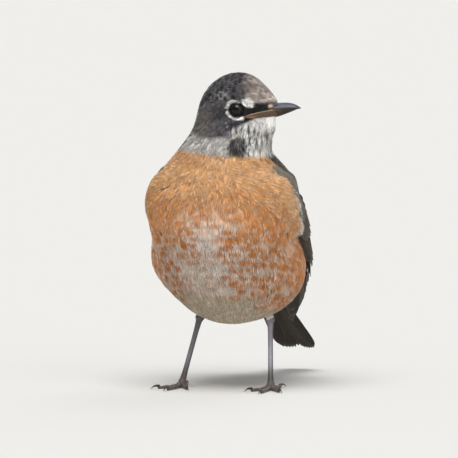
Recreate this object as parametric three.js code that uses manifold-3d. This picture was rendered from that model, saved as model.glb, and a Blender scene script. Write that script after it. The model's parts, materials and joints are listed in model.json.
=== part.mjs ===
// An American robin (Turdus migratorius), life size, standing at rest with its head turned to its left.
// Millimetres. +Z is up, the bird's breast faces -Y, and +X is the bird's own left side.
// The body is one soft form, the level surface of a few blended ellipsoids ("lobes"), parted with thin cuts.
// Wings and tail are thin feather vanes laid over that form; bill, eyes, legs, toes and claws are hard pieces.
import * as THREE from "three";
import { mergeVertices } from "three/addons/utils/BufferGeometryUtils.js";
import Module from "manifold-3d";

const wasm = await Module();
wasm.setup();

// ---------------------------------------------------------------- driving dimensions
const GAP = 0.3; // clearance between pieces that touch on the bird

const TRUNK_HALF_WIDTH = 39.5;
const TRUNK_PITCH = 52; // degrees from level, of the line from the tail root to the breast

const HEAD_PLACE = [10.2, -10.6, 142]; // the middle of the head, just over the eyes
const HEAD_TURN = 86; // degrees to the bird's left
const HEAD_PITCH = 6; // degrees, bill raised

const EYE_RADIUS = 4.4;
const EYE_SIDE = 8; // eyeball centre from the middle of the head
const EYE_FORWARD = 1.1;
const EYE_UP = -0.7;
const ORBIT_RADIUS = 4.3; // the dish in the face that the eye sits in
const ORBIT_SIDE = 14.2;

const BILL_TIP = 31.5; // forward of the point midway between the eyes
const BILL_BASE = 18.5; // where the forehead feathers end
const GAPE = 5; // the corner of the mouth, forward of the same point

const HEEL = { left: 19.8, right: 17.4, back: 6, height: 34 };
const FOOT = { left: 23.2, right: 23.2, back: -4, height: 3 };
const TARSUS_RADIUS = 1.25;

const WRIST = [-28, 106]; // bend of the folded wing, [back, height] seen from the side
const WING_TIP = [68, 31];
const TIP_ASIDE = 13; // how far the wing tips stay out from the middle
const UNDER_ARM = 0.75; // how far the folded arm lies off the body
const VANE = 0.6; // thickness of a flight feather with its shaft
const STEP = 0.13; // how much higher each feather of a row lies than the one before it

const TAIL_ROOT = [0, 32, 62];
const TAIL_TIP = [4.2, 102.5, 11.2];
const TAIL_HALF_WIDTH = 11.2;

const { degToRad: radians, lerp, clamp, smoothstep } = THREE.MathUtils;
const SIDES = { left: 1, right: -1 };

// ---------------------------------------------------------------- the soft form
// Axes of a lobe of the trunk: across the bird, along the lobe (forward and up) and square to both.
function pitchedAxes(pitch) {
  const a = radians(pitch);
  return [
    [1, 0, 0],
    [0, -Math.cos(a), Math.sin(a)],
    [0, Math.sin(a), Math.cos(a)],
  ];
}

// The head's own axes: its left side, forward along the bill, and up.
const HEAD_AXES = (() => {
  const [turn, pitch] = [radians(HEAD_TURN), radians(HEAD_PITCH)];
  const forward = new THREE.Vector3(
    Math.sin(turn) * Math.cos(pitch),
    -Math.cos(turn) * Math.cos(pitch),
    Math.sin(pitch),
  );
  const left = new THREE.Vector3(0, 0, 1).cross(forward).normalize();
  const up = forward.clone().cross(left);
  return [left, forward, up].map((axis) => axis.toArray());
})();

// A point given in the head's axes (left, forward, up) from the middle of the head.
function onHead(left, forward, up) {
  const [l, f, u] = HEAD_AXES;
  return HEAD_PLACE.map((c, i) => c + left * l[i] + forward * f[i] + up * u[i]);
}

const trunkLobe = (at, half, pitch, blend) => ({ at, half, axes: pitchedAxes(pitch), blend });
const headLobe = (place, half, blend) => ({ at: onHead(...place), half, axes: HEAD_AXES, blend });

// at: centre; half: half sizes along the lobe's axes; blend: how widely it melts into the lobes before it.
const TRUNK_LOBES = [
  trunkLobe([0, -14, 89.5], [TRUNK_HALF_WIDTH - 2.7, 33, 33], TRUNK_PITCH + 3, 0), // breast
  trunkLobe([2.5, -1, 65], [TRUNK_HALF_WIDTH - 4.5, 32, 33], TRUNK_PITCH - 12, 14), // belly
  trunkLobe([16.5, 1.5, 60], [TRUNK_HALF_WIDTH - 19.5, 27, 19], TRUNK_PITCH - 32, 8), // left flank
  trunkLobe([-18.5, 1.5, 62.5], [TRUNK_HALF_WIDTH - 19, 28, 16.5], TRUNK_PITCH - 32, 8), // right flank
  trunkLobe([0, 8, 89], [28, 38, 23], TRUNK_PITCH, 12), // mantle
  trunkLobe([-0.5, -3, 104], [33.5, 20, 15], 0, 8), // shoulders
  trunkLobe([0, 25, 62], [25.5, 30, 19], TRUNK_PITCH - 10, 12), // rump
  trunkLobe([1, 47, 48], [12, 22, 8.5], TRUNK_PITCH - 14, 10), // tail coverts
  trunkLobe([0, -8.5, 116], [18.5, 21, 23], 90, 13), // neck
];
const HEAD_LOBES = [
  headLobe([0, -1.6, 4.2], [12.8, 15.6, 13.4], 8), // cranium
  headLobe([0, -10.5, -6], [13.5, 12.8, 16], 8), // nape
  headLobe([0, 9.5, -0.5], [7.6, 10, 8.5], 5), // forehead and lores
  headLobe([4.6, -3.5, -5], [7.8, 11, 8.5], 6), // left cheek
  headLobe([-4.6, -3.5, -5], [7.8, 11, 8.5], 6), // right cheek
  headLobe([0, 7.5, -10], [6.8, 9.5, 6.5], 5), // chin
  headLobe([0, 3, -18], [9.5, 10, 9], 6), // throat
];
const BODY_LOBES = [...TRUNK_LOBES, ...HEAD_LOBES];
// The folded wings lie on the trunk and, past it, on an imagined bed that bridges rump and tail.
const WING_BED = [...TRUNK_LOBES, trunkLobe([0, 35, 51], [25, 39, 23], TRUNK_PITCH - 15, 12)];

// Nearly the distance from a point to an ellipsoid's surface, negative inside.
function lobeDistance(lobe, p) {
  let unit = 0;
  let slope = 0;
  for (let i = 0; i < 3; i++) {
    const [x, y, z] = lobe.axes[i];
    const along = (p[0] - lobe.at[0]) * x + (p[1] - lobe.at[1]) * y + (p[2] - lobe.at[2]) * z;
    const share = along / lobe.half[i];
    unit += share * share;
    slope += (share / lobe.half[i]) ** 2;
  }
  unit = Math.sqrt(unit);
  return (unit * (unit - 1)) / Math.max(Math.sqrt(slope), 1e-9);
}

// The smaller of two distances, with a fillet as wide as blend where they are alike.
function melt(a, b, blend) {
  const near = Math.max(blend - Math.abs(a - b), 0);
  return Math.min(a, b) - (blend > 0 ? (near * near) / (4 * blend) : 0);
}

const formDistance = (lobes, p) =>
  lobes.reduce((found, lobe) => melt(found, lobeDistance(lobe, p), lobe.blend), 1e3);

// How far from origin along direction the outermost wall of a form lies, at a level of its distance.
function reach(lobes, origin, direction, level) {
  const [far, step] = [110, 1.5];
  const at = (r) => formDistance(lobes, origin.map((c, k) => c + direction[k] * r)) - level;
  let outside = far;
  while (outside > step && at(outside - step) > 0) outside -= step;
  let inside = Math.max(outside - step, 0);
  for (let i = 0; i < 20; i++) {
    const middle = (inside + outside) / 2;
    if (at(middle) > 0) outside = middle;
    else inside = middle;
  }
  return (inside + outside) / 2;
}

// ---------------------------------------------------------------- mesh helpers
// A closed mesh from rings of points, all of one length. Each end is closed by a fan or, for flat rings
// that run out over the top and back underneath, by a strip.
function closedRings(rings, flat = false) {
  const n = rings[0].length;
  const places = rings.flat(2);
  const faces = [];
  for (let i = 0; i + 1 < rings.length; i++)
    for (let j = 0; j < n; j++) {
      const [a, b] = [i * n + j, i * n + ((j + 1) % n)];
      faces.push(a, b, b + n, a, b + n, a + n);
    }
  const last = (rings.length - 1) * n;
  if (flat) {
    for (let j = 0; j + 1 < n / 2; j++)
      for (const [start, p, q] of [
        [0, 1, 0],
        [last, 0, 1],
      ]) {
        const upper = [start + j + p, start + j + q];
        const under = [start + n - 1 - j - p, start + n - 1 - j - q];
        faces.push(upper[0], upper[1], under[1], upper[0], under[1], under[0]);
      }
  } else {
    const centre = (ring) => [0, 1, 2].map((k) => ring.reduce((sum, place) => sum + place[k], 0) / n);
    const first = places.length / 3;
    places.push(...centre(rings[0]), ...centre(rings.at(-1)));
    for (let j = 0; j < n; j++) {
      faces.push(first, (j + 1) % n, j);
      faces.push(first + 1, last + j, last + ((j + 1) % n));
    }
  }
  const geometry = new THREE.BufferGeometry()
    .setAttribute("position", new THREE.Float32BufferAttribute(places, 3))
    .setIndex(faces);
  return turnedOut(geometry);
}

// The same closed mesh with its faces pointing out, whichever way its rings ran.
function turnedOut(geometry) {
  const p = geometry.attributes.position;
  const index = geometry.index.array;
  const [a, b, c] = [new THREE.Vector3(), new THREE.Vector3(), new THREE.Vector3()];
  let volume = 0;
  for (let i = 0; i < index.length; i += 3) {
    a.fromBufferAttribute(p, index[i]);
    b.fromBufferAttribute(p, index[i + 1]);
    c.fromBufferAttribute(p, index[i + 2]);
    volume += a.dot(b.cross(c));
  }
  if (volume < 0)
    for (let i = 0; i < index.length; i += 3)
      [index[i + 1], index[i + 2]] = [index[i + 2], index[i + 1]];
  return geometry;
}

function solidOf(geometry) {
  const bare = geometry.clone();
  bare.deleteAttribute("normal");
  bare.deleteAttribute("uv");
  const merged = mergeVertices(bare, 1e-4);
  return new wasm.Manifold(
    new wasm.Mesh({
      numProp: 3,
      vertProperties: new Float32Array(merged.attributes.position.array),
      triVerts: new Uint32Array(merged.index.array),
    }),
  );
}

function geometryOf(solid) {
  const mesh = solid.getMesh();
  const geometry = new THREE.BufferGeometry()
    .setAttribute("position", new THREE.BufferAttribute(mesh.vertProperties, 3))
    .setIndex(new THREE.BufferAttribute(mesh.triVerts, 1));
  geometry.computeVertexNormals();
  return geometry;
}

// A solid with its needless small triangles merged away.
const simpler = (solid) => solid.simplify(0.05);
const largest = (solid) => solid.decompose().sort((a, b) => b.volume() - a.volume())[0];
const joined = (solids) => solids.reduce((whole, next) => whole.add(next));

function ball(centre, radius, segments = 16) {
  return solidOf(
    new THREE.SphereGeometry(radius, segments, Math.round(segments * 0.7)).translate(...centre),
  );
}

// A tube of round section along a list of centres, with a radius for each; no point goes below floor.
function tube(centres, radiusAt, sides = 8, floor = -Infinity) {
  const points = centres.map((c) => new THREE.Vector3(...c));
  const rings = points.map((point, i) => {
    const ahead = points[Math.min(i + 1, points.length - 1)].clone();
    const tangent = ahead.sub(points[Math.max(i - 1, 0)]).normalize();
    const steady = Math.abs(tangent.z) > 0.9 ? new THREE.Vector3(0, 1, 0) : new THREE.Vector3(0, 0, 1);
    const across = steady.clone().cross(tangent).normalize();
    const over = tangent.clone().cross(across);
    const radius = radiusAt(i / (points.length - 1));
    return Array.from({ length: sides }, (_, j) => {
      const turn = ((j + 0.5) / sides) * 2 * Math.PI;
      const p = point
        .clone()
        .addScaledVector(across, Math.cos(turn) * radius)
        .addScaledVector(over, Math.sin(turn) * radius);
      return [p.x, p.y, Math.max(p.z, floor)];
    });
  });
  return solidOf(closedRings(rings));
}

const span = (from, to, steps) => Array.from({ length: steps + 1 }, (_, i) => lerp(from, to, i / steps));
const between = (a, b, t) => a.map((c, k) => lerp(c, b[k], t));

// ---------------------------------------------------------------- the whole body, at a level
const BELLY_POLE = [0, 6, 60]; // rays fan down from here, and up from the crown pole
const CROWN_POLE = onHead(0, -1, 0);
const FANS_END = [0.3, 0.74]; // shares of the way up where the lower fan ends and the upper one begins
const CROWDING = 0.3; // draws the columns towards the tail, where the form is longest

function bodySurface(level, rows = 32, columns = 30) {
  const rings = span(0.012, 0.988, rows).map((t) => {
    const [low, high] = FANS_END;
    const rise = clamp((t - low) / (high - low), 0, 1);
    const tilt = ((Math.min(t / low - 1, 0) + Math.max((t - high) / (1 - high), 0)) * Math.PI) / 2;
    const origin = between(BELLY_POLE, CROWN_POLE, rise);
    return span(0, 2 * Math.PI, columns)
      .slice(1)
      .map((even) => {
        const around = even + CROWDING * Math.cos(even);
        const direction = [
          Math.cos(around) * Math.cos(tilt),
          Math.sin(around) * Math.cos(tilt),
          Math.sin(tilt),
        ];
        const r = reach(BODY_LOBES, origin, direction, level);
        return origin.map((c, k) => c + direction[k] * r);
      });
  });
  return solidOf(closedRings(rings));
}

// ---------------------------------------------------------------- eyes and bill

// The bill's profile at a distance forward: half width and the heights of ridge, edge and keel.
function billProfile(forward) {
  const t = clamp((forward - BILL_BASE) / (BILL_TIP - BILL_BASE), -1.1, 1);
  const out = Math.max(t, 0);
  const back = Math.min(t, 0);
  return {
    half: 3.1 * Math.sqrt(1 - out ** 1.9) - 2.2 * back + 0.15,
    ridge: 0.8 - 0.5 * out - 3.1 * out ** 4.2,
    edge: -2.1 - 0.8 * out ** 3 - 2.3 * back ** 2,
    keel: -6.2 + 3.6 * out ** 1.2 + 0.6 * back,
  };
}

// One half of the bill from back to tip; grow swells it, to cut the head clear of it.
function billHalf(upper, back, tip, grow = 0) {
  const rings = span(back, tip, 9).map((forward) => {
    const { half, ridge, edge, keel } = billProfile(forward);
    const brim = edge + (upper ? 0.16 - grow : -0.16 + grow);
    const crest = upper ? ridge + grow : keel - grow;
    const w = half * (upper ? 1 : 0.94) + grow;
    const outline = [
      [-w, 0],
      [-0.86 * w, 0.5],
      [-0.45 * w, 0.88],
      [0, 1],
      [0.45 * w, 0.88],
      [0.86 * w, 0.5],
      [w, 0],
    ];
    return outline.map(([left, share]) => onHead(left, forward, lerp(brim, crest, share)));
  });
  return solidOf(closedRings(rings));
}

// ---------------------------------------------------------------- legs and feet
// Digit 1 points back, 2 is the inner, 3 the middle and 4 the outer toe. Turn is degrees outwards.
const DIGITS = [
  { number: 1, turn: 172, length: 11, claw: 6.5, radius: 1.15, palm: 3.8 },
  { number: 2, turn: -27, length: 13.5, claw: 5, radius: 1.1, palm: 6.2 },
  { number: 3, turn: 4, length: 19.5, claw: 5.5, radius: 1.2, palm: 6.6 },
  { number: 4, turn: 34, length: 15, claw: 4.8, radius: 1.05, palm: 6.2 },
];

const heelOf = (name) => [SIDES[name] * HEEL[name], HEEL.back, HEEL.height];
const footOf = (name) => [SIDES[name] * FOOT[name], FOOT.back, FOOT.height];

// A point over a toe's line on the ground, at a distance from the foot joint.
function toePoint(name, digit, distance, height) {
  const turn = radians(digit.turn);
  return [
    SIDES[name] * (FOOT[name] + Math.sin(turn) * distance),
    FOOT.back - Math.cos(turn) * distance,
    height,
  ];
}

// A stretch of a toe, swollen at its knuckles. It leaves the joint high, then lies flat on the ground.
function toeStretch(name, digit, from, to, steps, sides = 7) {
  const knuckles = digit.length / 5.2;
  const radiusAt = (distance) => {
    const along = distance / digit.length;
    return digit.radius * (1 - 0.22 * along) * (1 + 0.07 * Math.cos(2 * Math.PI * knuckles * along));
  };
  const centres = span(from, to, steps).map((distance) => {
    const height = lerp(FOOT.height, 0.78 * radiusAt(distance), smoothstep(distance, 0, 5));
    return toePoint(name, digit, distance, height);
  });
  return tube(centres, (t) => radiusAt(lerp(from, to, t)), sides, 0);
}

// A claw springs from the toe's end, arches, and comes down to the ground at its point.
function claw(name, digit) {
  const centres = span(0, 1, 5).map((t) => {
    const arch = 0.3 + 1.1 * Math.cos((t * Math.PI) / 2) ** 0.8 + 0.55 * Math.sin(t * Math.PI);
    return toePoint(name, digit, digit.length + GAP + digit.claw * t, arch);
  });
  return tube(centres, (t) => lerp(0.78, 0.16, t ** 0.85), 6, 0);
}

function leg(name, bodyRoom) {
  const heel = heelOf(name);
  const foot = footOf(name);
  const knee = [SIDES[name] * 17, 0, 52]; // hidden in the flank
  const along = (from, to) => (t) => between(heel, foot, lerp(from, to, t));
  const shin = tube(
    span(0, 1, 5).map((t) => between(knee, heel, t)),
    (t) => lerp(6.5, 1.8, smoothstep(t, 0, 0.95)),
    10,
  );
  const heelBall = ball(heel, 2, 8);
  const tarsus = tube(
    span(0, 1, 6).map(along(0.05, 0.93)),
    (t) => TARSUS_RADIUS * (1 + 0.35 * (2 * t - 1) ** 4),
    10,
  );
  const tarsusRoom = tube([0.3, 0.93 + GAP / 31].map((t) => between(heel, foot, t)), () => 3, 8);
  const palms = DIGITS.map((digit) => toeStretch(name, digit, 0, digit.palm, 3, 6));
  const pieces = {
    [`thigh_${name}`]: largest(shin.add(heelBall).subtract(bodyRoom)),
    [`tarsus_${name}`]: largest(tarsus.subtract(ball(heel, 2 + GAP, 10))),
    [`foot_${name}`]: joined([ball(foot, 1.9, 8), ...palms]).subtract(tarsusRoom),
  };
  for (const digit of DIGITS) {
    const { number, palm, length } = digit;
    pieces[`toe_${name}_${number}`] = toeStretch(name, digit, palm + GAP, length, 5);
    pieces[`claw_${name}_${number}`] = claw(name, digit);
  }
  return pieces;
}

// ---------------------------------------------------------------- feathers in rows
// A row of feathers as one solid, laid like shingles, each a step higher than the one before it.
// tips: how far each feather reaches; at(across, t, reached, level): a point, with across from 0 to 1
// over the row and t from 0 to 1 along it.
function featherRow({ tips, rounding, base, at }) {
  const rings = [0, 0.2, 0.4, 0.6, 0.8, 0.93, 1].map((t) => {
    const upper = [];
    const under = [];
    tips.forEach((tip, i) => {
      for (const edge of [0.02, 0.3, 0.7, 0.98]) {
        const across = (i + edge) / tips.length;
        const reached = t * (tip - rounding * (2 * edge - 1) ** 2);
        const arch = 0.5 * edge * (1 - edge);
        upper.push(at(across, t, reached, base + VANE + STEP * i + arch));
        under.push(at(across, t, reached, base));
      }
    });
    return [...upper, ...under.reverse()];
  });
  return solidOf(closedRings(rings, true));
}

// ---------------------------------------------------------------- wings
const WING_LENGTH = Math.hypot(WING_TIP[0] - WRIST[0], WING_TIP[1] - WRIST[1]);
const WING_ALONG = [0, 1].map((k) => (WING_TIP[k] - WRIST[k]) / WING_LENGTH);
const WING_UP = [-WING_ALONG[1], WING_ALONG[0]];

// Rows of flight feathers. start and tips: shares of the wing's length; roots and ends: how far the row's
// lower and upper seams lie above the line from wrist to tip; base: level of its underside over the bed.
const FLIGHT_ROWS = {
  primaries: {
    start: 0.42,
    tips: [0.965, 1, 0.985, 0.95, 0.905, 0.86],
    roots: [-8, -3],
    ends: [-4.5, 3],
    base: 0.6,
  },
  secondaries: {
    start: 0.42,
    tips: [0.73, 0.745, 0.75, 0.745, 0.73],
    roots: [-6.5, 9],
    ends: [-3.5, 8],
    base: 2.25,
  },
  tertials: {
    start: 0.42,
    tips: [0.77, 0.73, 0.67],
    roots: [6.5, 20.5],
    ends: [5.5, 13],
    base: 3.8,
  },
};

// How far out the tip of the wing lies: the last quarter is too stiff to follow the rump inwards.
const stiffTip = (share, up) =>
  lerp(TIP_ASIDE + 48, TIP_ASIDE, share) - 0.04 * Math.max(up, 0) ** 2 - 200 * Math.max(0.78 - share, 0);

// A point of the folded wing: a share of the way to its tip, how far up from that line, and a level.
function onWing(side, share, up, level) {
  const [back, height] = [0, 1].map(
    (k) => WRIST[k] + share * WING_LENGTH * WING_ALONG[k] + up * WING_UP[k],
  );
  const aside = reach(WING_BED, [0, back, height], [side, 0, 0], level);
  return [side * Math.max(aside, stiffTip(share, up) + level), back, height];
}

// The feathered arm and shoulder: a pad over the roots of the flight feathers; grow makes it larger.
function arm(side, grow = 0) {
  const rings = span(0, 1, 8).map((t) => {
    const share = lerp(0, 0.53, t) + (2 * t - 1) * (grow / WING_LENGTH);
    const top = lerp(5, 24, smoothstep(t, 0, 0.5)) - 5 * smoothstep(t, 0.6, 1) + grow;
    const low = lerp(-4, -8.5, smoothstep(t, 0, 0.5)) - grow;
    const thick = lerp(0.8, 4.2, smoothstep(t, 0, 0.9)) + grow;
    const outer = span(0, 1, 6).map((across) => {
      const crest = 0.2 + 0.8 * Math.sin(Math.PI * across) ** 0.5;
      const up = lerp(low, top, across);
      const slim = 1 - 0.7 * smoothstep(up, 4, 14) * (1 - smoothstep(share, 0.25, 0.42)); // at the shoulder
      return onWing(side, share, up, UNDER_ARM + thick * crest * slim);
    });
    const inner = span(0, 1, 6).map((across) =>
      onWing(side, share, lerp(top, low, across), UNDER_ARM - grow),
    );
    return [...outer, ...inner];
  });
  return solidOf(closedRings(rings, true));
}

function wing(name, bodyRoom) {
  const side = SIDES[name];
  const room = arm(side, GAP);
  const pieces = { [`wing_${name}_coverts`]: arm(side) };
  for (const [kind, { start, tips, roots, ends, base }] of Object.entries(FLIGHT_ROWS)) {
    const at = (across, t, reached, level) => {
      const up = lerp(lerp(...roots, across), lerp(...ends, across), t);
      return onWing(side, start + reached, up, level);
    };
    const feathers = featherRow({ tips: tips.map((tip) => tip - start), rounding: 0.05, base, at });
    pieces[`wing_${name}_${kind}`] = largest(feathers.subtract(room).subtract(bodyRoom));
  }
  return pieces;
}

// ---------------------------------------------------------------- tail
// Five feathers at each side lie under the middle pair; the outer ones are the lowest.
function tail(bodyRoom) {
  const row = (tips, outer, inner, base) => {
    const at = (across, t, reached, level) => {
      const [x, y, z] = between(TAIL_ROOT, TAIL_TIP, reached);
      const aside = lerp(outer * lerp(0.45, 1, t ** 0.8), inner, across);
      const sag = 0.012 * aside ** 2;
      return [x + aside, y, z + level - sag];
    };
    return largest(featherRow({ tips, rounding: 0.05, base, at }).subtract(bodyRoom));
  };
  const sideTips = [0.955, 0.975, 0.985, 0.99, 0.995];
  const sideTop = VANE + sideTips.length * STEP;
  return {
    tail_left: row(sideTips, TAIL_HALF_WIDTH, GAP / 2, 0),
    tail_right: row(sideTips, -TAIL_HALF_WIDTH, -GAP / 2, 0),
    tail_middle: row([1, 1], 4.6, -4.6, sideTop + GAP),
  };
}

// ---------------------------------------------------------------- the parts of the bird
const solids = {};
const bodyRoom = bodySurface(GAP);

const upperBill = (grow) => billHalf(true, 9, BILL_TIP, grow);
const lowerBill = (grow) => billHalf(false, GAPE, BILL_TIP - 0.9, grow);
solids.bill_upper = upperBill(0);
solids.bill_lower = lowerBill(0);

let flesh = bodySurface(0).subtract(upperBill(GAP)).subtract(lowerBill(GAP));
for (const [name, side] of Object.entries(SIDES)) {
  const centre = onHead(side * EYE_SIDE, EYE_FORWARD, EYE_UP);
  const orbit = onHead(side * ORBIT_SIDE, EYE_FORWARD, EYE_UP);
  solids[`eye_${name}`] = ball(centre, EYE_RADIUS, 12);
  flesh = flesh.subtract(ball(centre, EYE_RADIUS + GAP, 12)).subtract(ball(orbit, ORBIT_RADIUS, 14));
}

// Thin cuts part the body, from the head down: [a point of the cut, its pitch in degrees].
const CUTS = [
  [[0, 0, 125], 0],
  [[0, -8, 110], -8],
  [[0, 42, 52], 56],
];
for (const [place, pitch] of CUTS)
  flesh = flesh.subtract(
    solidOf(new THREE.BoxGeometry(120, 120, GAP).rotateX(radians(pitch)).translate(...place)),
  );
const inOrder = flesh
  .decompose()
  .filter((piece) => piece.volume() > 1)
  .sort((a, b) => b.boundingBox().max[2] - a.boundingBox().max[2]);
["head", "neck", "trunk", "tail_coverts"].forEach((name, i) => {
  solids[name] = inOrder[i];
});

for (const name of Object.keys(SIDES)) Object.assign(solids, leg(name, bodyRoom), wing(name, bodyRoom));
Object.assign(solids, tail(bodyRoom));

// ---------------------------------------------------------------- colours
const COLOURS = [
  [/^head|^neck/, 0x625f61],
  [/^trunk/, 0xb87a4a],
  [/^tail_coverts/, 0xcfc8bc],
  [/^thigh/, 0xc9c0b2],
  [/^wing_.*coverts/, 0x6b6759],
  [/^wing|^tail/, 0x39322a],
  [/^eye/, 0x15100d],
  [/^bill_upper/, 0x5d606b],
  [/^bill_lower/, 0xa88f4c],
  [/^claw/, 0x3a332d],
  [/./, 0x6a5d57], // legs and toes
];

const robin = new THREE.Group();
robin.name = "american_robin";
for (const [name, solid] of Object.entries(solids)) {
  const colour = COLOURS.find(([pattern]) => pattern.test(name))[1];
  const roughness = /eye/.test(name) ? 0.08 : 0.75;
  const material = new THREE.MeshStandardMaterial({ color: colour, roughness });
  const mesh = new THREE.Mesh(geometryOf(simpler(solid)), material);
  mesh.name = name;
  robin.add(mesh);
}

// The finished bird stands on the plane z = 0, with its bounding box centred over the origin.
const box = new THREE.Box3().setFromObject(robin);
robin.position.set(-(box.min.x + box.max.x) / 2, -(box.min.y + box.max.y) / 2, -box.min.z);
robin.userData.modellingFrame = robin.position.toArray();

export default robin;
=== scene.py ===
# %% [markdown]
# # An American robin, standing
# This lesson dresses a plain solid model of a thrush in skin, feathers, horn and scales.
# The solid model comes first, as a fixed frame: it says where the head, wings, tail and toes are.
# Nothing here moves it. Every new piece is worked out in millimetres from the same few sizes that
# shaped the solids, and is then written in metres where the frame stands.
# The breast faces -Y, the bird's own left is +X, and the floor is z = 0.

import json
import math

import bpy
import numpy as np
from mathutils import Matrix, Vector, kdtree

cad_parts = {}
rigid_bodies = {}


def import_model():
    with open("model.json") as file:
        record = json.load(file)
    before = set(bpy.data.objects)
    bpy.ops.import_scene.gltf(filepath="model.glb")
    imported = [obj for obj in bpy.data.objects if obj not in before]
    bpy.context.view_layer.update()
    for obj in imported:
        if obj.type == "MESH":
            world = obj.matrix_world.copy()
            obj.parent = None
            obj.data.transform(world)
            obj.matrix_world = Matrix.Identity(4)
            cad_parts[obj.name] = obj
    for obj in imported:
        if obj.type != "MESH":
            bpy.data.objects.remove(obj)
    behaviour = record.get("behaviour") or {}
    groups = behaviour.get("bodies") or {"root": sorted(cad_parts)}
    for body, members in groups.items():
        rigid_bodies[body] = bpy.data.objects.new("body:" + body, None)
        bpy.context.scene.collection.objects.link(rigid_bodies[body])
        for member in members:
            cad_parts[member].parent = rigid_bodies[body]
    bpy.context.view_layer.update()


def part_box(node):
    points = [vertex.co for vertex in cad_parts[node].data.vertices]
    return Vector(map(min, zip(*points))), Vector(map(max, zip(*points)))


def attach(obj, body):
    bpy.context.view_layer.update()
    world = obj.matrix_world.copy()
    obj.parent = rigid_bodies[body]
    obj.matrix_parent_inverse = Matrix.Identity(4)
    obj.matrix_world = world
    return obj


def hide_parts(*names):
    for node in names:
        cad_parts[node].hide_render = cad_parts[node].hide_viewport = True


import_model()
chance = np.random.default_rng(1766)


def box_of(node):
    """The lowest and highest corners of a solid, in millimetres."""
    return np.array([list(corner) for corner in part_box(node)]) * 1000


# %% [markdown]
# ## Where the head is, and which way it looks
# A bird's face is easiest to describe in the head's own directions: left, forward along the bill,
# and up. Their origin is the middle of the head, a little behind and above the eyes. The head is turned
# far to the bird's left, but in these directions the same numbers serve both cheeks and the bill.
# The whole bird was shifted once to centre it on its stand; the eyeballs tell by how much.

# %% The head's axes
HEAD_PLACE = np.array([10.2, -10.6, 142.0])
HEAD_TURN = math.radians(86)
HEAD_PITCH = math.radians(6)


def heading(turn, rise):
    """The way -Y points once it is turned towards +X and then raised, both in radians."""
    return np.array([math.sin(turn) * math.cos(rise), -math.cos(turn) * math.cos(rise), math.sin(rise)])


FORWARD = heading(HEAD_TURN, HEAD_PITCH)
LEFT = np.cross([0, 0, 1], FORWARD)
LEFT = LEFT / np.linalg.norm(LEFT)
UP = np.cross(FORWARD, LEFT)
HEAD_AXES = np.array([LEFT, FORWARD, UP])
EYE_SIDE = 8.0
EYE_FORWARD = 1.1
EYE_UP = -0.7
EYE_RADIUS = 4.4


def on_head(left, forward, up):
    """Head origin + left * LEFT + forward * FORWARD + up * UP, for numbers or whole arrays."""
    left, forward, up = np.broadcast_arrays(left, forward, up)
    return HEAD_PLACE + np.stack([left, forward, up], axis=-1) @ HEAD_AXES


def in_head(points):
    """The left, forward and up of points: their offsets from the head origin, along each axis."""
    return (points - HEAD_PLACE) @ HEAD_AXES.T


def eye_distance(points):
    """Distance from the line through both eyes, mm, seen from the side."""
    _, forward, up = np.moveaxis(in_head(points), -1, 0)
    return np.hypot(forward - EYE_FORWARD, up - EYE_UP)


eyes = np.mean([box_of("eye_left").mean(axis=0), box_of("eye_right").mean(axis=0)], axis=0)
SHIFT = eyes - on_head(0, EYE_FORWARD, EYE_UP)
SHIFT[2] = 0.0
print("shift from the drawing to the stand, mm:", SHIFT.round(2))


def placed(points):
    """Millimetres of the drawing to metres of the frame: add the shift and divide by 1000."""
    return (np.asarray(points, float) + SHIFT) / 1000


# %% [markdown]
# ## The soft form: lobes that melt together
# Under its feathers a bird is a few rounded masses: breast, belly, flanks, back, neck, crown, cheeks.
# They could be sculpted by hand, but a formula is easier to keep true. Each mass is an egg with three
# half sizes. The near-distance to an egg is the length of the scaled offset times that length less one,
# divided by the size of its slope. Two such distances melt into one: the smaller of the two, lowered
# by a rounded fillet where they are alike. The same sum also gives the direction that points
# straight out of the form, which the coat needs everywhere.

# %% Lobes
TRUNK_HALF_WIDTH = 39.5
TRUNK_PITCH = 52


def pitched(pitch):
    """Axes of a lobe of the trunk: across, along (forward and up at this pitch), and square to both."""
    a = math.radians(pitch)
    return np.array([[1, 0, 0], [0, -math.cos(a), math.sin(a)], [0, math.sin(a), math.cos(a)]])


def trunk_lobe(place, half, pitch, blend):
    """A mass of the trunk: its middle, half sizes, pitch, and how widely it melts into the rest."""
    return np.array(place, float), np.array(half, float), pitched(pitch), blend


def head_lobe(place, half, blend):
    """A mass of the head, placed and turned in the head's own axes."""
    return on_head(*place), np.array(half, float), HEAD_AXES, blend


TRUNK_LOBES = [
    trunk_lobe([0, -14, 89.5], [TRUNK_HALF_WIDTH - 2.7, 33, 33], TRUNK_PITCH + 3, 0),  # breast
    trunk_lobe([2.5, -1, 65], [TRUNK_HALF_WIDTH - 4.5, 32, 33], TRUNK_PITCH - 12, 14),  # belly
    trunk_lobe([16.5, 1.5, 60], [TRUNK_HALF_WIDTH - 19.5, 27, 19], TRUNK_PITCH - 32, 8),  # left flank
    trunk_lobe([-18.5, 1.5, 62.5], [TRUNK_HALF_WIDTH - 19, 28, 16.5], TRUNK_PITCH - 32, 8),  # right flank
    trunk_lobe([0, 8, 89], [28, 38, 23], TRUNK_PITCH, 12),  # mantle
    trunk_lobe([-0.5, -3, 104], [33.5, 20, 15], 0, 8),  # shoulders
    trunk_lobe([0, 25, 62], [25.5, 30, 19], TRUNK_PITCH - 10, 12),  # rump
    trunk_lobe([1, 47, 48], [12, 22, 8.5], TRUNK_PITCH - 14, 10),  # tail coverts
    trunk_lobe([0, -8.5, 116], [18.5, 21, 23], 90, 13),  # neck
]
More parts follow.
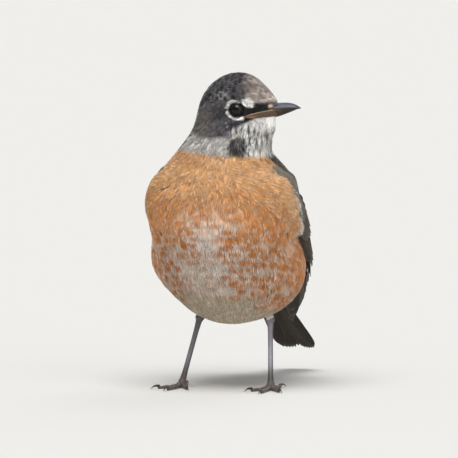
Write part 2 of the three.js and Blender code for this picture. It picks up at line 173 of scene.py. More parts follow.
HEAD_LOBES = [
    head_lobe([0, -1.6, 4.2], [12.8, 15.6, 13.4], 8),  # cranium
    head_lobe([0, -10.5, -6], [13.5, 12.8, 16], 8),  # nape
    head_lobe([0, 9.5, -0.5], [7.6, 10, 8.5], 5),  # forehead and lores
    head_lobe([4.6, -3.5, -5], [7.8, 11, 8.5], 6),  # left cheek
    head_lobe([-4.6, -3.5, -5], [7.8, 11, 8.5], 6),  # right cheek
    head_lobe([0, 7.5, -10], [6.8, 9.5, 6.5], 5),  # chin
    head_lobe([0, 3, -18], [9.5, 10, 9], 6),  # throat
]
BODY = TRUNK_LOBES + HEAD_LOBES
WING_BED = TRUNK_LOBES + [trunk_lobe([0, 35, 51], [25, 39, 23], TRUNK_PITCH - 15, 12)]
print("masses of the body:", len(BODY))

# %% The melted form, and rays that meet it
def form(points, lobes=BODY):
    """Near-distance from each point to the melted lobes (negative inside), and the way straight out.

    Egg: offset / half sizes = share; distance = |share| * (|share| - 1) / |share / half sizes|.
    Melting a and b: the smaller, less near * near / (4 * blend), with near = blend - |a - b|,
    and the two outward directions mixed in the same measure.
    """
    found = np.full(points.shape[:-1], 1e3)
    out = np.zeros(points.shape)
    for middle, half, axes, blend in lobes:
        share = (points - middle) @ axes.T / half
        slope = share / half
        steep = np.maximum(np.linalg.norm(slope, axis=-1), 1e-9)
        length = np.linalg.norm(share, axis=-1)
        distance = length * (length - 1) / steep
        away = (slope / steep[..., None]) @ axes
        near = np.maximum(blend - np.abs(found - distance), 0)
        mix = np.where(distance < found, 1.0, 0.0)
        if blend:
            mix = mix + np.where(distance < found, -1, 1) * near / (2 * blend)
        fillet = near * near / (4 * blend) if blend else 0
        found = np.minimum(found, distance) - fillet
        out = out * (1 - mix[..., None]) + away * mix[..., None]
    out /= np.maximum(np.linalg.norm(out, axis=-1, keepdims=True), 1e-9)
    return found, out


def reach(origins, directions, level=0.0, lobes=BODY, far=110.0, step=2.5, halvings=14):
    """How far along each ray the form's outermost wall lies, at a level of its distance.

    The ray is walked inwards from far away until it is inside, then halved down to the wall.
    """
    origins, directions = np.broadcast_arrays(origins, directions)
    level = np.broadcast_to(level, origins.shape[:-1])
    outside = np.full(origins.shape[:-1], far)
    walking = np.ones(origins.shape[:-1], bool)
    for _ in range(int(far / step) - 1):
        probe = origins + directions * (outside - step)[..., None]
        walking[walking] = form(probe[walking], lobes)[0] > level[walking]
        if not walking.any():
            break
        outside = np.where(walking, outside - step, outside)
    inside = outside - step
    for _ in range(halvings):
        middle = (inside + outside) / 2
        beyond = form(origins + directions * middle[..., None], lobes)[0] > level
        outside = np.where(beyond, middle, outside)
        inside = np.where(beyond, inside, middle)
    return (inside + outside) / 2


crown_top = on_head(0, 0, reach(on_head(0, 0, 0), UP))
print("the crown is", crown_top[2].round(1), "mm over the floor")

# %% [markdown]
# ## Mesh tools
# Every piece below is a grid of points, or many small ones, computed as whole arrays. One helper turns
# points and faces into a finished object at the origin, with its colours and its two maps: "lay" says
# how far across and along a feather a point is, and "OFBake" is the flat sheet that colours are baked on.
# Corners are written for every face at once, so that no point is visited one by one.

# %% Mesh tools
def new_piece(name, points, faces, material, colours=None, lay=None, sheet=None):
    """An object from points in millimetres and faces (an array of triangles or of four-sided faces)."""
    mesh = bpy.data.meshes.new(name)
    faces = np.asarray(faces, np.int32)
    sides = faces.shape[1]
    mesh.vertices.add(len(points))
    mesh.vertices.foreach_set("co", placed(points).astype(np.float32).ravel())
    mesh.loops.add(faces.size)
    mesh.loops.foreach_set("vertex_index", faces.ravel())
    mesh.polygons.add(len(faces))
    mesh.polygons.foreach_set("loop_start", np.arange(0, faces.size, sides, dtype=np.int32))
    mesh.polygons.foreach_set("use_smooth", np.ones(len(faces), bool))
    mesh.update(calc_edges=True)
    mesh.validate()
    if colours is not None:
        layer = mesh.color_attributes.new("plumage", "FLOAT_COLOR", "POINT")
        rgba = np.ones((len(points), 4), np.float32)
        rgba[:, :3] = colours
        layer.data.foreach_set("color", rgba.ravel())
    for title, values in (("lay", lay), ("OFBake", sheet)):
        if values is not None:
            layer = mesh.uv_layers.new(name=title)
            values = np.asarray(values, np.float32)
            corners = values if values.ndim == 3 else values[faces]
            layer.data.foreach_set("uv", corners.ravel())
    mesh.materials.append(material)
    piece = bpy.data.objects.new(name, mesh)
    bpy.context.scene.collection.objects.link(piece)
    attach(piece, "root")
    return piece


# %% Faces of grids, plates and balls
def grid_faces(rows, columns, around=False):
    """Four-sided faces of a grid; with around, its last column is joined to its first."""
    index = np.arange(rows * columns).reshape(rows, columns)
    ahead = np.roll(index, -1, axis=1) if around else index[:, 1:]
    here = index if around else index[:, :-1]
    return np.stack([here[:-1], ahead[:-1], ahead[1:], here[1:]], axis=-1).reshape(-1, 4)


def plate_faces(rows, columns):
    """Faces of a grid, then of the same grid turned over beneath it, then of the wall round both."""
    top = grid_faces(rows, columns)
    size = rows * columns
    index = np.arange(size).reshape(rows, columns)
    rim = np.concatenate([index[0, :-1], index[:-1, -1], index[-1, :0:-1], index[:0:-1, 0]])
    after = np.roll(rim, -1)
    wall = np.stack([after, rim, rim + size, after + size], axis=-1)
    return np.concatenate([top, top[:, ::-1] + size, wall])


def in_triangles(quads):
    """Each four-sided face as two triangles, the first halves of all before the second halves."""
    return np.concatenate([quads[:, [0, 1, 2]], quads[:, [0, 2, 3]]])


def polar_faces(rings, around):
    """Triangles of a ball or a rod: a fan at the first point, bands between rings, a fan at the last."""
    ring = np.arange(around)
    after = (ring + 1) % around
    last = 1 + (rings - 1) * around
    start = np.stack([np.zeros(around, int), after + 1, ring + 1], axis=-1)
    end = np.stack([np.full(around, last + around), last + ring, last + after], axis=-1)
    return np.concatenate([in_triangles(grid_faces(rings, around, around=True) + 1), start, end])


def outward(points, faces):
    """The same faces, turned so that the solid they close has a positive volume."""
    first, *others = np.moveaxis((points - points.mean(axis=0))[faces], 1, 0)
    volume = sum(np.sum(first * np.cross(b, c)) for b, c in zip(others, others[1:]))
    return faces if volume > 0 else faces[:, ::-1]


def closed_rings(rings):
    """Points and faces of a stack of rings, closed at both ends by a fan."""
    points = np.concatenate([[rings[0].mean(axis=0)], rings.reshape(-1, 3), [rings[-1].mean(axis=0)]])
    return points, outward(points, polar_faces(*rings.shape[:2]))


print("a plate of 3 by 4 points has", len(plate_faces(3, 4)), "faces")


# %% Soft steps, directions and colours
def ease(low, high, value):
    """Rises smoothly from 0 at low to 1 at high: 3x^2 - 2x^3 of the share of the way."""
    share = np.clip((np.asarray(value, float) - low) / (high - low), 0, 1)
    return share * share * (3 - 2 * share)


def unit(vectors):
    """The same directions, one long."""
    return vectors / np.maximum(np.linalg.norm(vectors, axis=-1, keepdims=True), 1e-9)


def srgb(*values):
    """A colour written as 0-255 screen values, as the light it gives back."""
    share = np.array(values, float) / 255
    return np.where(share <= 0.04045, share / 12.92, ((share + 0.055) / 1.055) ** 2.4)


def blend(first, second, amount):
    """first where amount is 0, second where it is 1."""
    amount = np.asarray(amount, float)[..., None]
    return first * (1 - amount) + second * amount


def painted(colours, colour, amount):
    """Several colours, each blended towards one colour by the same amount."""
    return [blend(each, colour, amount) for each in colours]


print("a middle grey of 128 gives back", srgb(128).round(3)[0], "of the light")

# %% [markdown]
# ## The colours of the coat
# A robin wears orange, slate grey, soot and white, and each comes in a few strengths. They are written as
# whole values from 0 to 255, which a painter can compare with a swatch. Plain decimals would do as well.

# %% Colours of the coat
SLATE = srgb(84, 83, 88)
SLATE_PALE = srgb(126, 124, 130)
SOOT = srgb(31, 29, 31)
WHITE = srgb(242, 240, 236)
WHITE_RING = srgb(255, 254, 251)
NECK_GREY = srgb(186, 182, 178)
BROWN_FOREHEAD = srgb(208, 193, 183)
BROW_PALE = srgb(188, 186, 186)
CHEEK_PALE = srgb(150, 146, 144)
NAPE, NAPE_FRINGE = srgb(122, 116, 110), srgb(146, 140, 132)
MOUSTACHE, MOUSTACHE_FRINGE = srgb(214, 204, 186), srgb(226, 218, 204)
# A pale orange-white painted highlight by the nostril, at the edge of the feathers.
NOSTRIL_HIGHLIGHT = srgb(242, 208, 184)
ORANGE = srgb(232, 180, 124)
ORANGE_DEEP = srgb(211, 126, 42)
FRINGE = srgb(250, 238, 227)
CREAM = srgb(212, 195, 170)
BACK_GREY = srgb(100, 97, 91)
BACK_PALE = srgb(132, 127, 117)
print("orange of the breast, as light:", ORANGE.round(3))

# %% [markdown]
# ## Patches, lines and spots
# A bird's pattern belongs to places on its body, so one function will give the colours at any place, and
# skin and feathers both read it. It could be painted by hand on an unwrapped sheet, but then the skin
# and each feather would need a sheet of their own. The pattern is a sum of soft steps: patches shaped
# like eggs, distances to a drawn line, and spots strewn in loose rows.

# %% Patches, lines and spots
def near_patch(across, along, sizes, soft):
    """1 inside an ellipse of these half sizes round 0, falling to 0 over a share soft of its size."""
    offset = np.stack([across, along], axis=-1)
    return 1 - ease(1 - soft, 1 + soft, np.linalg.norm(offset / np.array(sizes, float), axis=-1))


def line_distance(forward, up, line, closed=False):
    """Distance from places to a line of (forward, up) corners."""
    corners = np.array(line)
    ends = np.roll(corners, -1, axis=0) if closed else corners[1:]
    place = np.stack([forward, up], axis=-1)
    nearest = np.full(place.shape[:-1], 1e3)
    for start, end in zip(corners, ends):
        run = end - start
        share = np.clip((place - start) @ run / (run @ run), 0, 1)
        nearest = np.minimum(nearest, np.linalg.norm(place - start - share[..., None] * run, axis=-1))
    return nearest


def within(forward, up, corners):
    """True inside a closed line of corners: a level ray to the right crosses it an odd number of times."""
    crossings = np.zeros(np.shape(forward), int)
    for (f0, u0), (f1, u1) in zip(corners, corners[1:] + corners[:1]):
        spans = (u0 > up) != (u1 > up)
        crossings += spans & (forward < f0 + (up - u0) * (f1 - f0) / (u1 - u0 if u1 != u0 else 1))
    return crossings % 2 == 1


def scattered(across, along, wide, high, size, gaps):
    """Spots in loose rows, 1 inside and 0 between: one in each cell of wide by high mm.

    A spot is an ellipse of half sizes size * wide and size * high round a place near the cell's middle,
    every second row half a cell aside. Its place, its size and whether it is there at all come from a
    mixing of the cell's numbers: the part after the point of 43758.5 sin(12.99 row + 78.23 column + k).
    """
    line = np.floor(along / high)
    across = across + wide * 0.5 * (line % 2)
    stand = np.floor(across / wide)
    a, b, c, d = (np.modf(43758.5 * np.sin(12.99 * line + 78.23 * stand + k) + 1e5)[0] for k in range(4))
    u = (across / wide - stand - 0.5 - 0.3 * (a - 0.5)) / (size * (0.7 + 0.6 * c))
    v = (along / high - line - 0.5 - 0.35 * (b - 0.5)) / (size * (0.7 + 0.6 * c))
    return (1 - ease(0.75, 1.15, np.hypot(u, v))) * ease(gaps, gaps + 0.25, d)


def moods(mood):
    """Two more numbers from 0 to 1: the parts after the point of 7.31 and of 23.7 times the first."""
    return np.modf(mood * 7.31)[0], np.modf(mood * 23.7)[0]


strewn = scattered(*np.meshgrid(np.linspace(0, 60, 200), np.linspace(0, 40, 200)), 6.2, 3.8, 0.44, 0.05)
print("share of the breast under spots:", strewn.mean().round(2))

# %% [markdown]
# ## The colours of the body
# The breast is plain orange above. Lower down each feather has a wide white end, so the orange is left
# as spots, and the belly and vent are cream. Behind the wings the back is grey with paler edges. Each
# place has three colours, for the down at a feather's base, its middle and its fringe, and says how
# wide the fringe is.

# %% Breast, belly, vent and back
BREAST_HALF = 38
COLLAR_AT = [-30, -24, -3, 9, 17, 26, 31]
COLLAR_HEIGHTS = [120.6, 120.4, 120, 118.4, 118.4, 117.4, 115.4]
BACK_FROM = 84


def collar_height(points):
    """Where the throat ends and the breast begins: lower towards the bird's left, as the head turns."""
    return np.interp(points[..., 0], COLLAR_AT, COLLAR_HEIGHTS)


def back_limit(points):
    """How far back the breast reaches: little at the shoulder, then to under the wing's lower edge."""
    z = points[..., 2]
    shoulder = np.interp(z, [BACK_FROM, 95, 106, 114, 122], [16, 2, -6, -10, -17])
    flank = np.interp(z, [30, 45, 60, 75, BACK_FROM], [30, 34, 30, 24, 16])
    return np.where(z > BACK_FROM, shoulder, flank)


def breast_colours(points, mood):
    """Base, middle and fringe, and the fringe's width, on breast, flanks and belly.

    pale grows from 0 on the upper breast to 1 below, and less at the flanks. Spots stay orange, and
    between them the middle turns to the fringe's white by 0.84 pale. Painted shade makes the lower
    breast up to 0.2 darker, less towards the flanks.
    """
    x, y, z = np.moveaxis(points, -1, 0)
    other, third = moods(mood)
    from_middle = np.abs(x - 3) / BREAST_HALF
    centre = 1 - ease(0.1, 0.75, from_middle)
    pale = ease(101, 76, z + 10 * (1 - centre)) * (0.72 + 0.28 * centre)
    pale = pale * (1 - 0.55 * ease(0.7, 1.0, from_middle) * np.where(x > 0, 1, 0.2))
    belly = 1 - ease(-4, 5, z - 44 - 10 * other + 15 * ease(0.25, 0.9, np.abs(x - 1) / BREAST_HALF))
    white_patch = near_patch(x - 2, z - 74, [5, 16], 0.6)
    white_patch = 0.85 * np.maximum(white_patch, near_patch(x + 5, z - 55, [10, 10], 0.6))
    middle = blend(ORANGE, ORANGE_DEEP, 0.9 * ease(112, 88, z) * (0.45 + 0.55 * third))
    middle = blend(middle, ORANGE_DEEP, 0.35 * ease(0.5, 0.9, third) * ease(84, 96, z))
    round_body = 36 * np.arctan2(x - 2, 12 - y)
    spots = scattered(round_body, z + 0.004 * round_body**2, 6.2, 3.8, 0.44 + 0.1 * (1 - centre), 0.05)
    middle = blend(middle, ORANGE_DEEP, 0.85 * pale * spots)
    middle = blend(middle, FRINGE, (0.84 + 0.12 * white_patch) * pale * (1 - spots * (1 - 0.8 * white_patch)))
    fringe = blend(blend(ORANGE, FRINGE, 0.25 + 0.4 * mood), FRINGE, 0.8 * pale)
    base = blend(ORANGE, FRINGE, 0.35 + 0.6 * pale)
    # Painted shade: the lower breast is darkened by up to 0.2, less towards the flanks.
    painted_shade_below = (1 - 0.2 * ease(88, 64, z) * (1 - ease(0.75, 0.97, from_middle)))[..., None]
    colours = [colour * painted_shade_below for colour in painted([base, middle, fringe], CREAM, belly)]
    return colours, 0.05 + 0.03 * pale + 0.03 * (other - 0.5)


def body_colours(points, mood):
    """The breast's colours, over them the cream of vent and under-tail, then the back's grey."""
    _, y, z = np.moveaxis(points, -1, 0)
    (base, middle, fringe), wide = breast_colours(points, mood)
    vent = ease(14, 30, y) * (1 - ease(62, 72, z)) + (1 - ease(36, 42, z))
    over_tail = ease(0, 4, z - 48 + 0.78 * (y - 47)) * (y > 25)
    vent = np.clip(vent, 0, 1) * (1 - over_tail)
    back = ease(-3, 3, y - back_limit(points)) * (1 - vent * (1 - ease(44, 56, z - 0.25 * (40 - y))))
    back_middle = blend(BACK_GREY, BACK_PALE, 0.35 * moods(mood)[0])
    middle = blend(blend(middle, CREAM * 0.92, vent), back_middle, back)
    fringe = blend(blend(fringe, CREAM, vent), BACK_PALE, back)
    return blend(base, BACK_GREY * 0.6, back), middle, fringe, wide * (1 - back) + 0.1 * back


print("collar in front, mm over the floor:", collar_height(np.array([0.0, -40.0, 119.0])).round(1))

# %% [markdown]
# ## The face
# The broken white ring is an arc over the eye and one under it, with a white patch over the lores. Their
# shapes are drawn as the face looks from a little ahead of its side, and a formula carries each place
# of the head to that drawing. Drawn square to the side instead, they would be squeezed round the
# curve of the brow.

# %% The white of the face
EYE_FRONT = 11.07
EYE_ARC_ABOVE = [(-4.1, 1.3), (-4.0, 2.0), (-3.4, 3.4), (-1.75, 4.3), (0.0, 4.25), (1.8, 3.5)]
EYE_ARC_BELOW = [(-4.3, -1.0), (-3.3, -2.6), (-1.25, -3.9), (1.0, -4.4), (3.7, -4.2)]
PATCH_TOP = [(2.7, 5.7), (4.5, 5.2), (5.7, 6.4), (7.0, 5.7), (8.9, 4.2)]
LORE_PATCH = PATCH_TOP + [(9.1, 1.2), (8.0, 0.9), (5.7, 1.2), (3.5, 2.5)]
MOUSTACHE_LINE = [(-2.5, -14.6), (0.5, -13.2), (5.5, -9.3)]


def drawn_from_ahead(side, forward, up):
    """Places on the face as drawn from 22 degrees ahead of its side: mm before and above the eye's middle.

    before = 0.92 forward - 0.10 up - 0.375 side, above = 0.07 forward + 0.99 up - 0.08 side, each
    measured from the front of the eyeball.
    """
    out, ahead, above = side - EYE_FRONT, forward - EYE_FORWARD, up - EYE_UP
    return 0.92 * ahead - 0.10 * above - 0.375 * out, 0.07 * ahead + 0.99 * above - 0.08 * out


def white_of_face(before, above):
    """The broken white ring: an arc above and behind the eye, one below it, and a patch over the lores."""
    upper = ease(1.0, 0.65, line_distance(before, above, EYE_ARC_ABOVE) + 0.06 * (before + 4))
    lower = ease(0.75, 0.45, line_distance(before, above, EYE_ARC_BELOW))
    rim = line_distance(before, above, LORE_PATCH, closed=True)
    patch = ease(-0.1, 0.25, np.where(within(before, above, LORE_PATCH), rim, -rim))
    return np.clip(upper + lower + patch, 0, 1)


print("white just over the eye:", white_of_face(np.array(-1.75), np.array(4.3)).round(2))

# %% [markdown]
# ## The colours of the head
# Slate grey with soot on lores, ear and brow, dots on the crown, a brown wash on the forehead, and pale
# grey on the sides of the neck. The throat is white with streaks of soot in lanes that run down it. All
# these are places in the head's own directions, because they turn with it.

# %% Crown, cheeks, neck and throat
SOOT_PATCHES = [
    # forward, up, half sizes, softness, strength
    (6.5, -3.2, [3.6, 3.0], 0.4, 1),  # below the eye
    (-5.8, -1.2, [4.4, 3.6], 0.5, 0.55),  # behind the eye
    (4.0, 9.8, [7.5, 2.4], 0.5, 0.5),  # brow
    (2.0, -8.4, [6.0, 3.4], 0.5, 0.5),  # lower cheek
]


def head_colours(points, mood):
    """Middle, fringe and fringe width of crown and cheeks, with the white of the face and a painted highlight
    by the nostril.
    """
    left, forward, up = np.moveaxis(in_head(points), -1, 0)
    side = np.abs(left)
    before, above = drawn_from_ahead(side, forward, up)
    other, third = moods(mood)
    crown, spot = ease(4, 10, up), ease(0.6, 0.68, mood)
    dots = scattered(12 * np.arctan2(left, up + 3), forward, 2.6, 2.3, 0.42, 0.05) * ease(2, 6, up)
    soot = near_patch(forward - 10.8, up + 0.6 + 0.05 * (forward - 10.8), [7.4, 2.3], 0.3)
    for patch_forward, patch_up, half, soft, strength in SOOT_PATCHES:
        soot = soot + strength * near_patch(forward - patch_forward, up - patch_up, half, soft)
    soot = np.clip(soot, 0, 1) * ease(3.5, 6.0, side)
    brow = near_patch(forward + 6.5, up - 6.6 - 0.3 * (forward + 6.5), [9.0, 2.8], 0.5)
    brown = ease(3, 9, forward) * ease(0.5, 3.0, up)
    cheek = near_patch(forward + 2.0 - 0.4 * up, up + 8.4, [7.0, 3.2], 0.5)
    nape = ease(-8, -15, forward) * (1 - ease(-4, 6, up))
    # Where the painted highlight by the nostril lies.
    nostril = near_patch(before - 17.3, above - 1.9, [1.2, 0.8], 0.4) * ease(1, 2, side)

    grey = blend(SLATE_PALE, SLATE, 0.35 + 0.6 * other)
    grey = blend(grey, SOOT, spot * 0.4 + 0.2 * (1 - crown))
    grey = blend(grey, BROW_PALE, 0.6 * brow * ease(6, 9, side) * (other > 0.5))
    grey = blend(grey, blend(BROWN_FOREHEAD, SLATE, 0.5 * (mood > 0.7)), 0.9 * brown)
    grey = blend(grey, SOOT * 0.8, dots * (0.9 - 0.5 * brown))
    grey = blend(grey, SOOT, soot)
    pale_edge = blend(grey, SLATE_PALE * 1.15, (0.1 + 0.6 * crown) * (1 - 0.8 * np.maximum(spot, dots)))
    fringe = blend(pale_edge, grey, soot)
    grey = blend(grey, CHEEK_PALE, 0.7 * cheek * (third > 0.8) * ease(6, 9, side) * (1 - crown))
    grey, fringe = blend(grey, NAPE, 0.8 * nape), blend(fringe, NAPE_FRINGE, 0.8 * nape)
    grey, fringe = painted([grey, fringe], WHITE_RING, white_of_face(before, above) * ease(6, 8, side))
    # Painted highlight: the feathers by the nostril turn pale orange-white.
    grey, fringe = painted([grey, fringe], NOSTRIL_HIGHLIGHT, 0.9 * nostril)
    return grey, fringe, 0.12 + 0.1 * crown * (1 - spot)


def neck_and_throat(points, mood, grey, fringe):
    """Adds the neck's pale sides, the streaked throat, its sooty block and the pale moustache line.

    Streaks follow lanes: the sine of 2.1 mm before the eye, bent by a slower sine of the height.
    """
    side, forward, up = np.moveaxis(in_head(points), -1, 0)
    side = np.abs(side)
    before, above = drawn_from_ahead(side, forward, up)
    other, third = moods(mood)
    cheek_edge = -13 + 0.22 * (forward + 4) + 0.02 * (forward + 4) ** 2 * (forward < -4)
    neck = ease(1.2, -1.6, up - cheek_edge) * (1 - ease(-5, 1, forward + 0.45 * (up + 14)))
    neck = neck * ease(6, 11, side) * ease(3, -5, points[..., 1])
    neck_colour = blend(blend(NECK_GREY, WHITE, 0.5 * mood), SLATE_PALE, 0.5 * (other > 0.7))
    grey, fringe = blend(grey, neck_colour, neck), blend(fringe, neck_colour * 1.06, neck)

    throat_top = -5.6 - 0.42 * np.clip(10 - forward, 0, 12) + 0.12 * np.clip(forward - 10, 0, 9)
    throat = ease(0.6, -0.8, up - throat_top) * ease(-1.5, 1.5, forward + 0.45 * (up + 14) + 1.2)
    throat = np.maximum(throat, ease(-5.5, -8.5, up) * ease(6.5, 3.5, side) * ease(-2, 2, forward))
    lane = np.sin(before * 2.1 + 0.9 * np.sin(above * 0.5) + 5 * (side < 2) * side)
    streak = ease(0.2, 0.5, 0.65 * lane + 1.2 * (mood - 0.5)) * ease(-6.5, -10.0, up)
    streak = streak * (0.9 - 0.35 * ease(8, 13, forward))
    streak = np.maximum(streak, 0.9 * (third > 0.86) * ease(-8, -12, up))
    grey, fringe = painted([grey, fringe], blend(WHITE_RING, SOOT, streak), throat)

    block = near_patch(before - 0.8, above + 19.3, [5.0, 5.8], 0.3) * ease(1, 3, side)
    block = 0.92 * block * (third < 0.88)
    grey, fringe = blend(grey, SOOT, block), blend(fringe, SOOT * 1.2, block)
    moustache = ease(0.6, 0.2, line_distance(before, above, MOUSTACHE_LINE)) * ease(6, 8, side)
    grey, fringe = blend(grey, MOUSTACHE, 0.85 * moustache), blend(fringe, MOUSTACHE_FRINGE, 0.85 * moustache)
    return grey, fringe, throat + neck * (1 - throat)


def markings(points, mood):
    """Base, middle and fringe colours of the coat at points, and the share of a feather the fringe takes.

    mood: one random number from 0 to 1 for each place, so that no two feathers are quite alike. The
    head's colours end at the collar, on a line made ragged by 0.8 mm either way.
    """
    mood = np.broadcast_to(mood, points.shape[:-1])
    base, middle, fringe, wide = body_colours(points, mood)
    grey, grey_fringe, head_wide = head_colours(points, mood)
    grey, grey_fringe, white = neck_and_throat(points, mood, grey, grey_fringe)
    ragged = 1.6 * (moods(mood)[0] - 0.5)
    above = ease(-1.0, 1.0, points[..., 2] + ragged - collar_height(points))
    base = blend(base, blend(grey * 0.7, WHITE * 0.8, white), above)
    wide = wide * (1 - above) + head_wide * above
    return base, blend(middle, grey, above), blend(fringe, grey_fringe, above), np.clip(wide, 0.02, 0.4)


print("crown's colour, as light:", markings(crown_top, 0.3)[1].round(3))

# %% [markdown]
# ## The skin
# One closed skin stands for head, neck, trunk, thighs' roots and the coverts of the tail, so that no
# seam shows where the solids were cut. It could be remeshed from them, but a grid of rays gives it
# even faces and a natural unwrap. The rays leave a line inside the bird: a fan downwards from the
# belly, level rays up the body, and a fan upwards inside the crown. The skin lies under the outline by
# the depth of the coat: one and a half millimetres on the body and under one on the face. Round each
# eye it dips in a shallow dish, behind the lids.

# %% The skin's grid
ROWS = 230
COLUMNS = 220
BELLY_POLE = np.array([0.0, 6.0, 60.0])
CROWN_POLE = on_head(0, -1, 0)
FANS_END = (0.3, 0.74)
CROWDING = 0.3
SHEET_MARGIN = 0.008
BODY_DEPTH = 1.5
HEAD_DEPTH = 0.9
ORBIT_SIDE = 10.0


def ray_from_inside(column, row):
    """Origin and direction of the ray at a column and row, each from 0 to 1 over the skin's sheet.

    Around = 2 pi column + CROWDING cos(2 pi column), which crowds the columns towards the tail. Tilt
    goes from straight down to level, stays level while the origin climbs, and ends straight up.
    """
    low, high = FANS_END
    even = 2 * math.pi * column
    around = even + CROWDING * np.cos(even)
    rise = np.clip((row - low) / (high - low), 0, 1)
    tilt = (np.minimum(row / low - 1, 0) + np.maximum((row - high) / (1 - high), 0)) * math.pi / 2
    origin = BELLY_POLE + rise[..., None] * (CROWN_POLE - BELLY_POLE)
    direction = np.stack(
        [np.cos(around) * np.cos(tilt), np.sin(around) * np.cos(tilt), np.sin(tilt)], axis=-1
    )
    return origin, direction


def coat_depth(points):
    """Thickness of the feathers, mm: less up the neck, 0.55 less by the bill and half by the tail."""
    forward = in_head(points)[..., 1]
    on_neck = ease(112, 132, points[..., 2])
    depth = BODY_DEPTH * (1 - on_neck) + HEAD_DEPTH * on_neck
    depth = depth * (1 - 0.55 * ease(9, 16, forward) * on_neck)
    return depth * (1 - 0.5 * ease(45, 62, points[..., 1]))


def outline_points(column, row):
    """Points of the bird's outline, where the tips of its feathers lie."""
    origin, direction = ray_from_inside(column, row)
    return origin + direction * reach(origin, direction)[..., None]


def dished(points):
    """Points held in round each eye: at most 10 mm aside, 3.5 more at the rim, and free beyond it."""
    side, forward, up = np.moveaxis(in_head(points), -1, 0)
    from_axis = eye_distance(points)
    dish = ORBIT_SIDE + 3.5 * ease(3.7, 6.2, from_axis) + 100 * ease(6, 14, from_axis)
    sunk = np.where(np.abs(side) > 6, np.minimum(np.abs(side), dish), np.abs(side)) * np.sign(side)
    return on_head(sunk, forward, up)


row_grid, column_grid = np.meshgrid(
    np.linspace(SHEET_MARGIN, 1 - SHEET_MARGIN, ROWS), np.arange(COLUMNS) / COLUMNS, indexing="ij"
)
outline = outline_points(column_grid, row_grid)
skin_points = dished(outline - form(outline)[1] * coat_depth(outline)[..., None])
print("outline spans, mm:", np.ptp(outline.reshape(-1, 3), axis=0).round(1))

# %% [markdown]
# The skin is seen only in chinks between feathers, where it is the down near the feather bases. It
# carries the same markings, with fine noise in its colour and bump. A plain mix of two noises would
# look like stone, so the noise is stretched upwards. Most finishes below are made the same way.

# %% Materials
def coloured_material(name, roughness, sheen=0.0, specular=0.3):
    """A material whose colour comes from the plumage attribute; the plain numbers sit on its sockets."""
    material = bpy.data.materials.new(name)
    material.use_nodes = True
    shader = material.node_tree.nodes["Principled BSDF"]
    shader.inputs["Roughness"].default_value = roughness
    shader.inputs["Specular IOR Level"].default_value = specular
    shader.inputs["Sheen Weight"].default_value = sheen
    shader.inputs["Sheen Roughness"].default_value = 0.5
    attribute = material.node_tree.nodes.new("ShaderNodeAttribute")
    attribute.attribute_name = "plumage"
    return material, shader, attribute


def link(material, *pairs):
    """Joins sockets two by two: from, to, from, to."""
    for start, end in zip(pairs[::2], pairs[1::2]):
        material.node_tree.links.new(start, end)


def node(material, kind, **settings):
    """A new node of a material's tree, with its settings or the numbers of its sockets."""
    made = material.node_tree.nodes.new(kind)
    for key, value in settings.items():
        if hasattr(made, key) and key not in made.inputs:
            setattr(made, key, value)
        else:
            made.inputs[key.replace("_", " ")].default_value = value
    return made


def varied(material, colour, scale, low, high, stretch=(1, 1, 1)):
    """The colour times a noise in the piece's own place that runs from low to high."""
    place = node(material, "ShaderNodeTexCoord")
    mapping = node(material, "ShaderNodeMapping")
    mapping.inputs["Scale"].default_value = stretch
    noise = node(material, "ShaderNodeTexNoise", Scale=scale, Detail=3.0)
    spread = node(material, "ShaderNodeMapRange", From_Min=0.3, From_Max=0.7, To_Min=low, To_Max=high)
    scaled = node(material, "ShaderNodeVectorMath", operation="SCALE")
    link(
        material,
        place.outputs["Object"], mapping.inputs["Vector"],
        mapping.outputs["Vector"], noise.inputs["Vector"],
        noise.outputs["Fac"], spread.inputs["Value"],
        spread.outputs["Result"], scaled.inputs["Scale"],
        colour, scaled.inputs[0],
    )
    return scaled.outputs[0], noise.outputs["Fac"]


def bumped(material, shader, height, distance, strength=1.0):
    """Feeds a height into the shader's normal, with its full rise in metres."""
    bump = node(material, "ShaderNodeBump", Strength=strength, Distance=distance)
    link(material, height, bump.inputs["Height"], bump.outputs["Normal"], shader.inputs["Normal"])


def grained_material(name, roughness, scale, low, high, bump=0.0, stretch=(1, 1, 1), **finish):
    """Plumage colour times a noise from low to high, with the same noise as a bump so many metres high."""
    material, shader, colour = coloured_material(name, roughness, **finish)
    tinted, grain = varied(material, colour.outputs["Color"], scale, low, high, stretch)
    link(material, tinted, shader.inputs["Base Color"])
    if bump:
        bumped(material, shader, grain, bump)
    return material


down = grained_material("down_under_feathers", 0.95, 900.0, 0.8, 1.15, 0.0006, (1, 1, 0.35))
print("nodes in the down:", len(down.node_tree.nodes))


# %% The skin
def skin_mesh():
    """The skin's grid, closed by a fan of faces at the belly and at the crown."""
    places = skin_points.reshape(-1, 3)
    bottom = skin_points[0].mean(axis=0)
    top = skin_points[-1].mean(axis=0)
    triangles = in_triangles(grid_faces(ROWS, COLUMNS, around=True))
    first = len(places)
    ring = np.arange(COLUMNS)
    after = (ring + 1) % COLUMNS
    last = (ROWS - 1) * COLUMNS
    low_fan = np.stack([np.full(COLUMNS, first), after, ring], axis=-1)
    high_fan = np.stack([np.full(COLUMNS, first + 1), last + ring, last + after], axis=-1)
    return np.concatenate([places, [bottom, top]]), np.concatenate([triangles, low_fan, high_fan])


def skin_sheet(faces):
    """Column and row of each corner. A face over the seam runs on past the sheet's edge, and a pole's
    corner lies midway between its others.
    """
    poles = [[np.nan, 0.0], [np.nan, 1.0]]
    sheet = np.concatenate([np.stack([column_grid, row_grid], axis=-1).reshape(-1, 2), poles])[faces]
    across = sheet[..., 0]
    over_seam = np.nanmax(across, axis=1) - np.nanmin(across, axis=1) > 0.5
    across += over_seam[:, None] * (across < 0.5)
    midway = np.nanmean(across, axis=1, keepdims=True)
    sheet[..., 0] = np.where(np.isnan(across), midway, across)
    return sheet


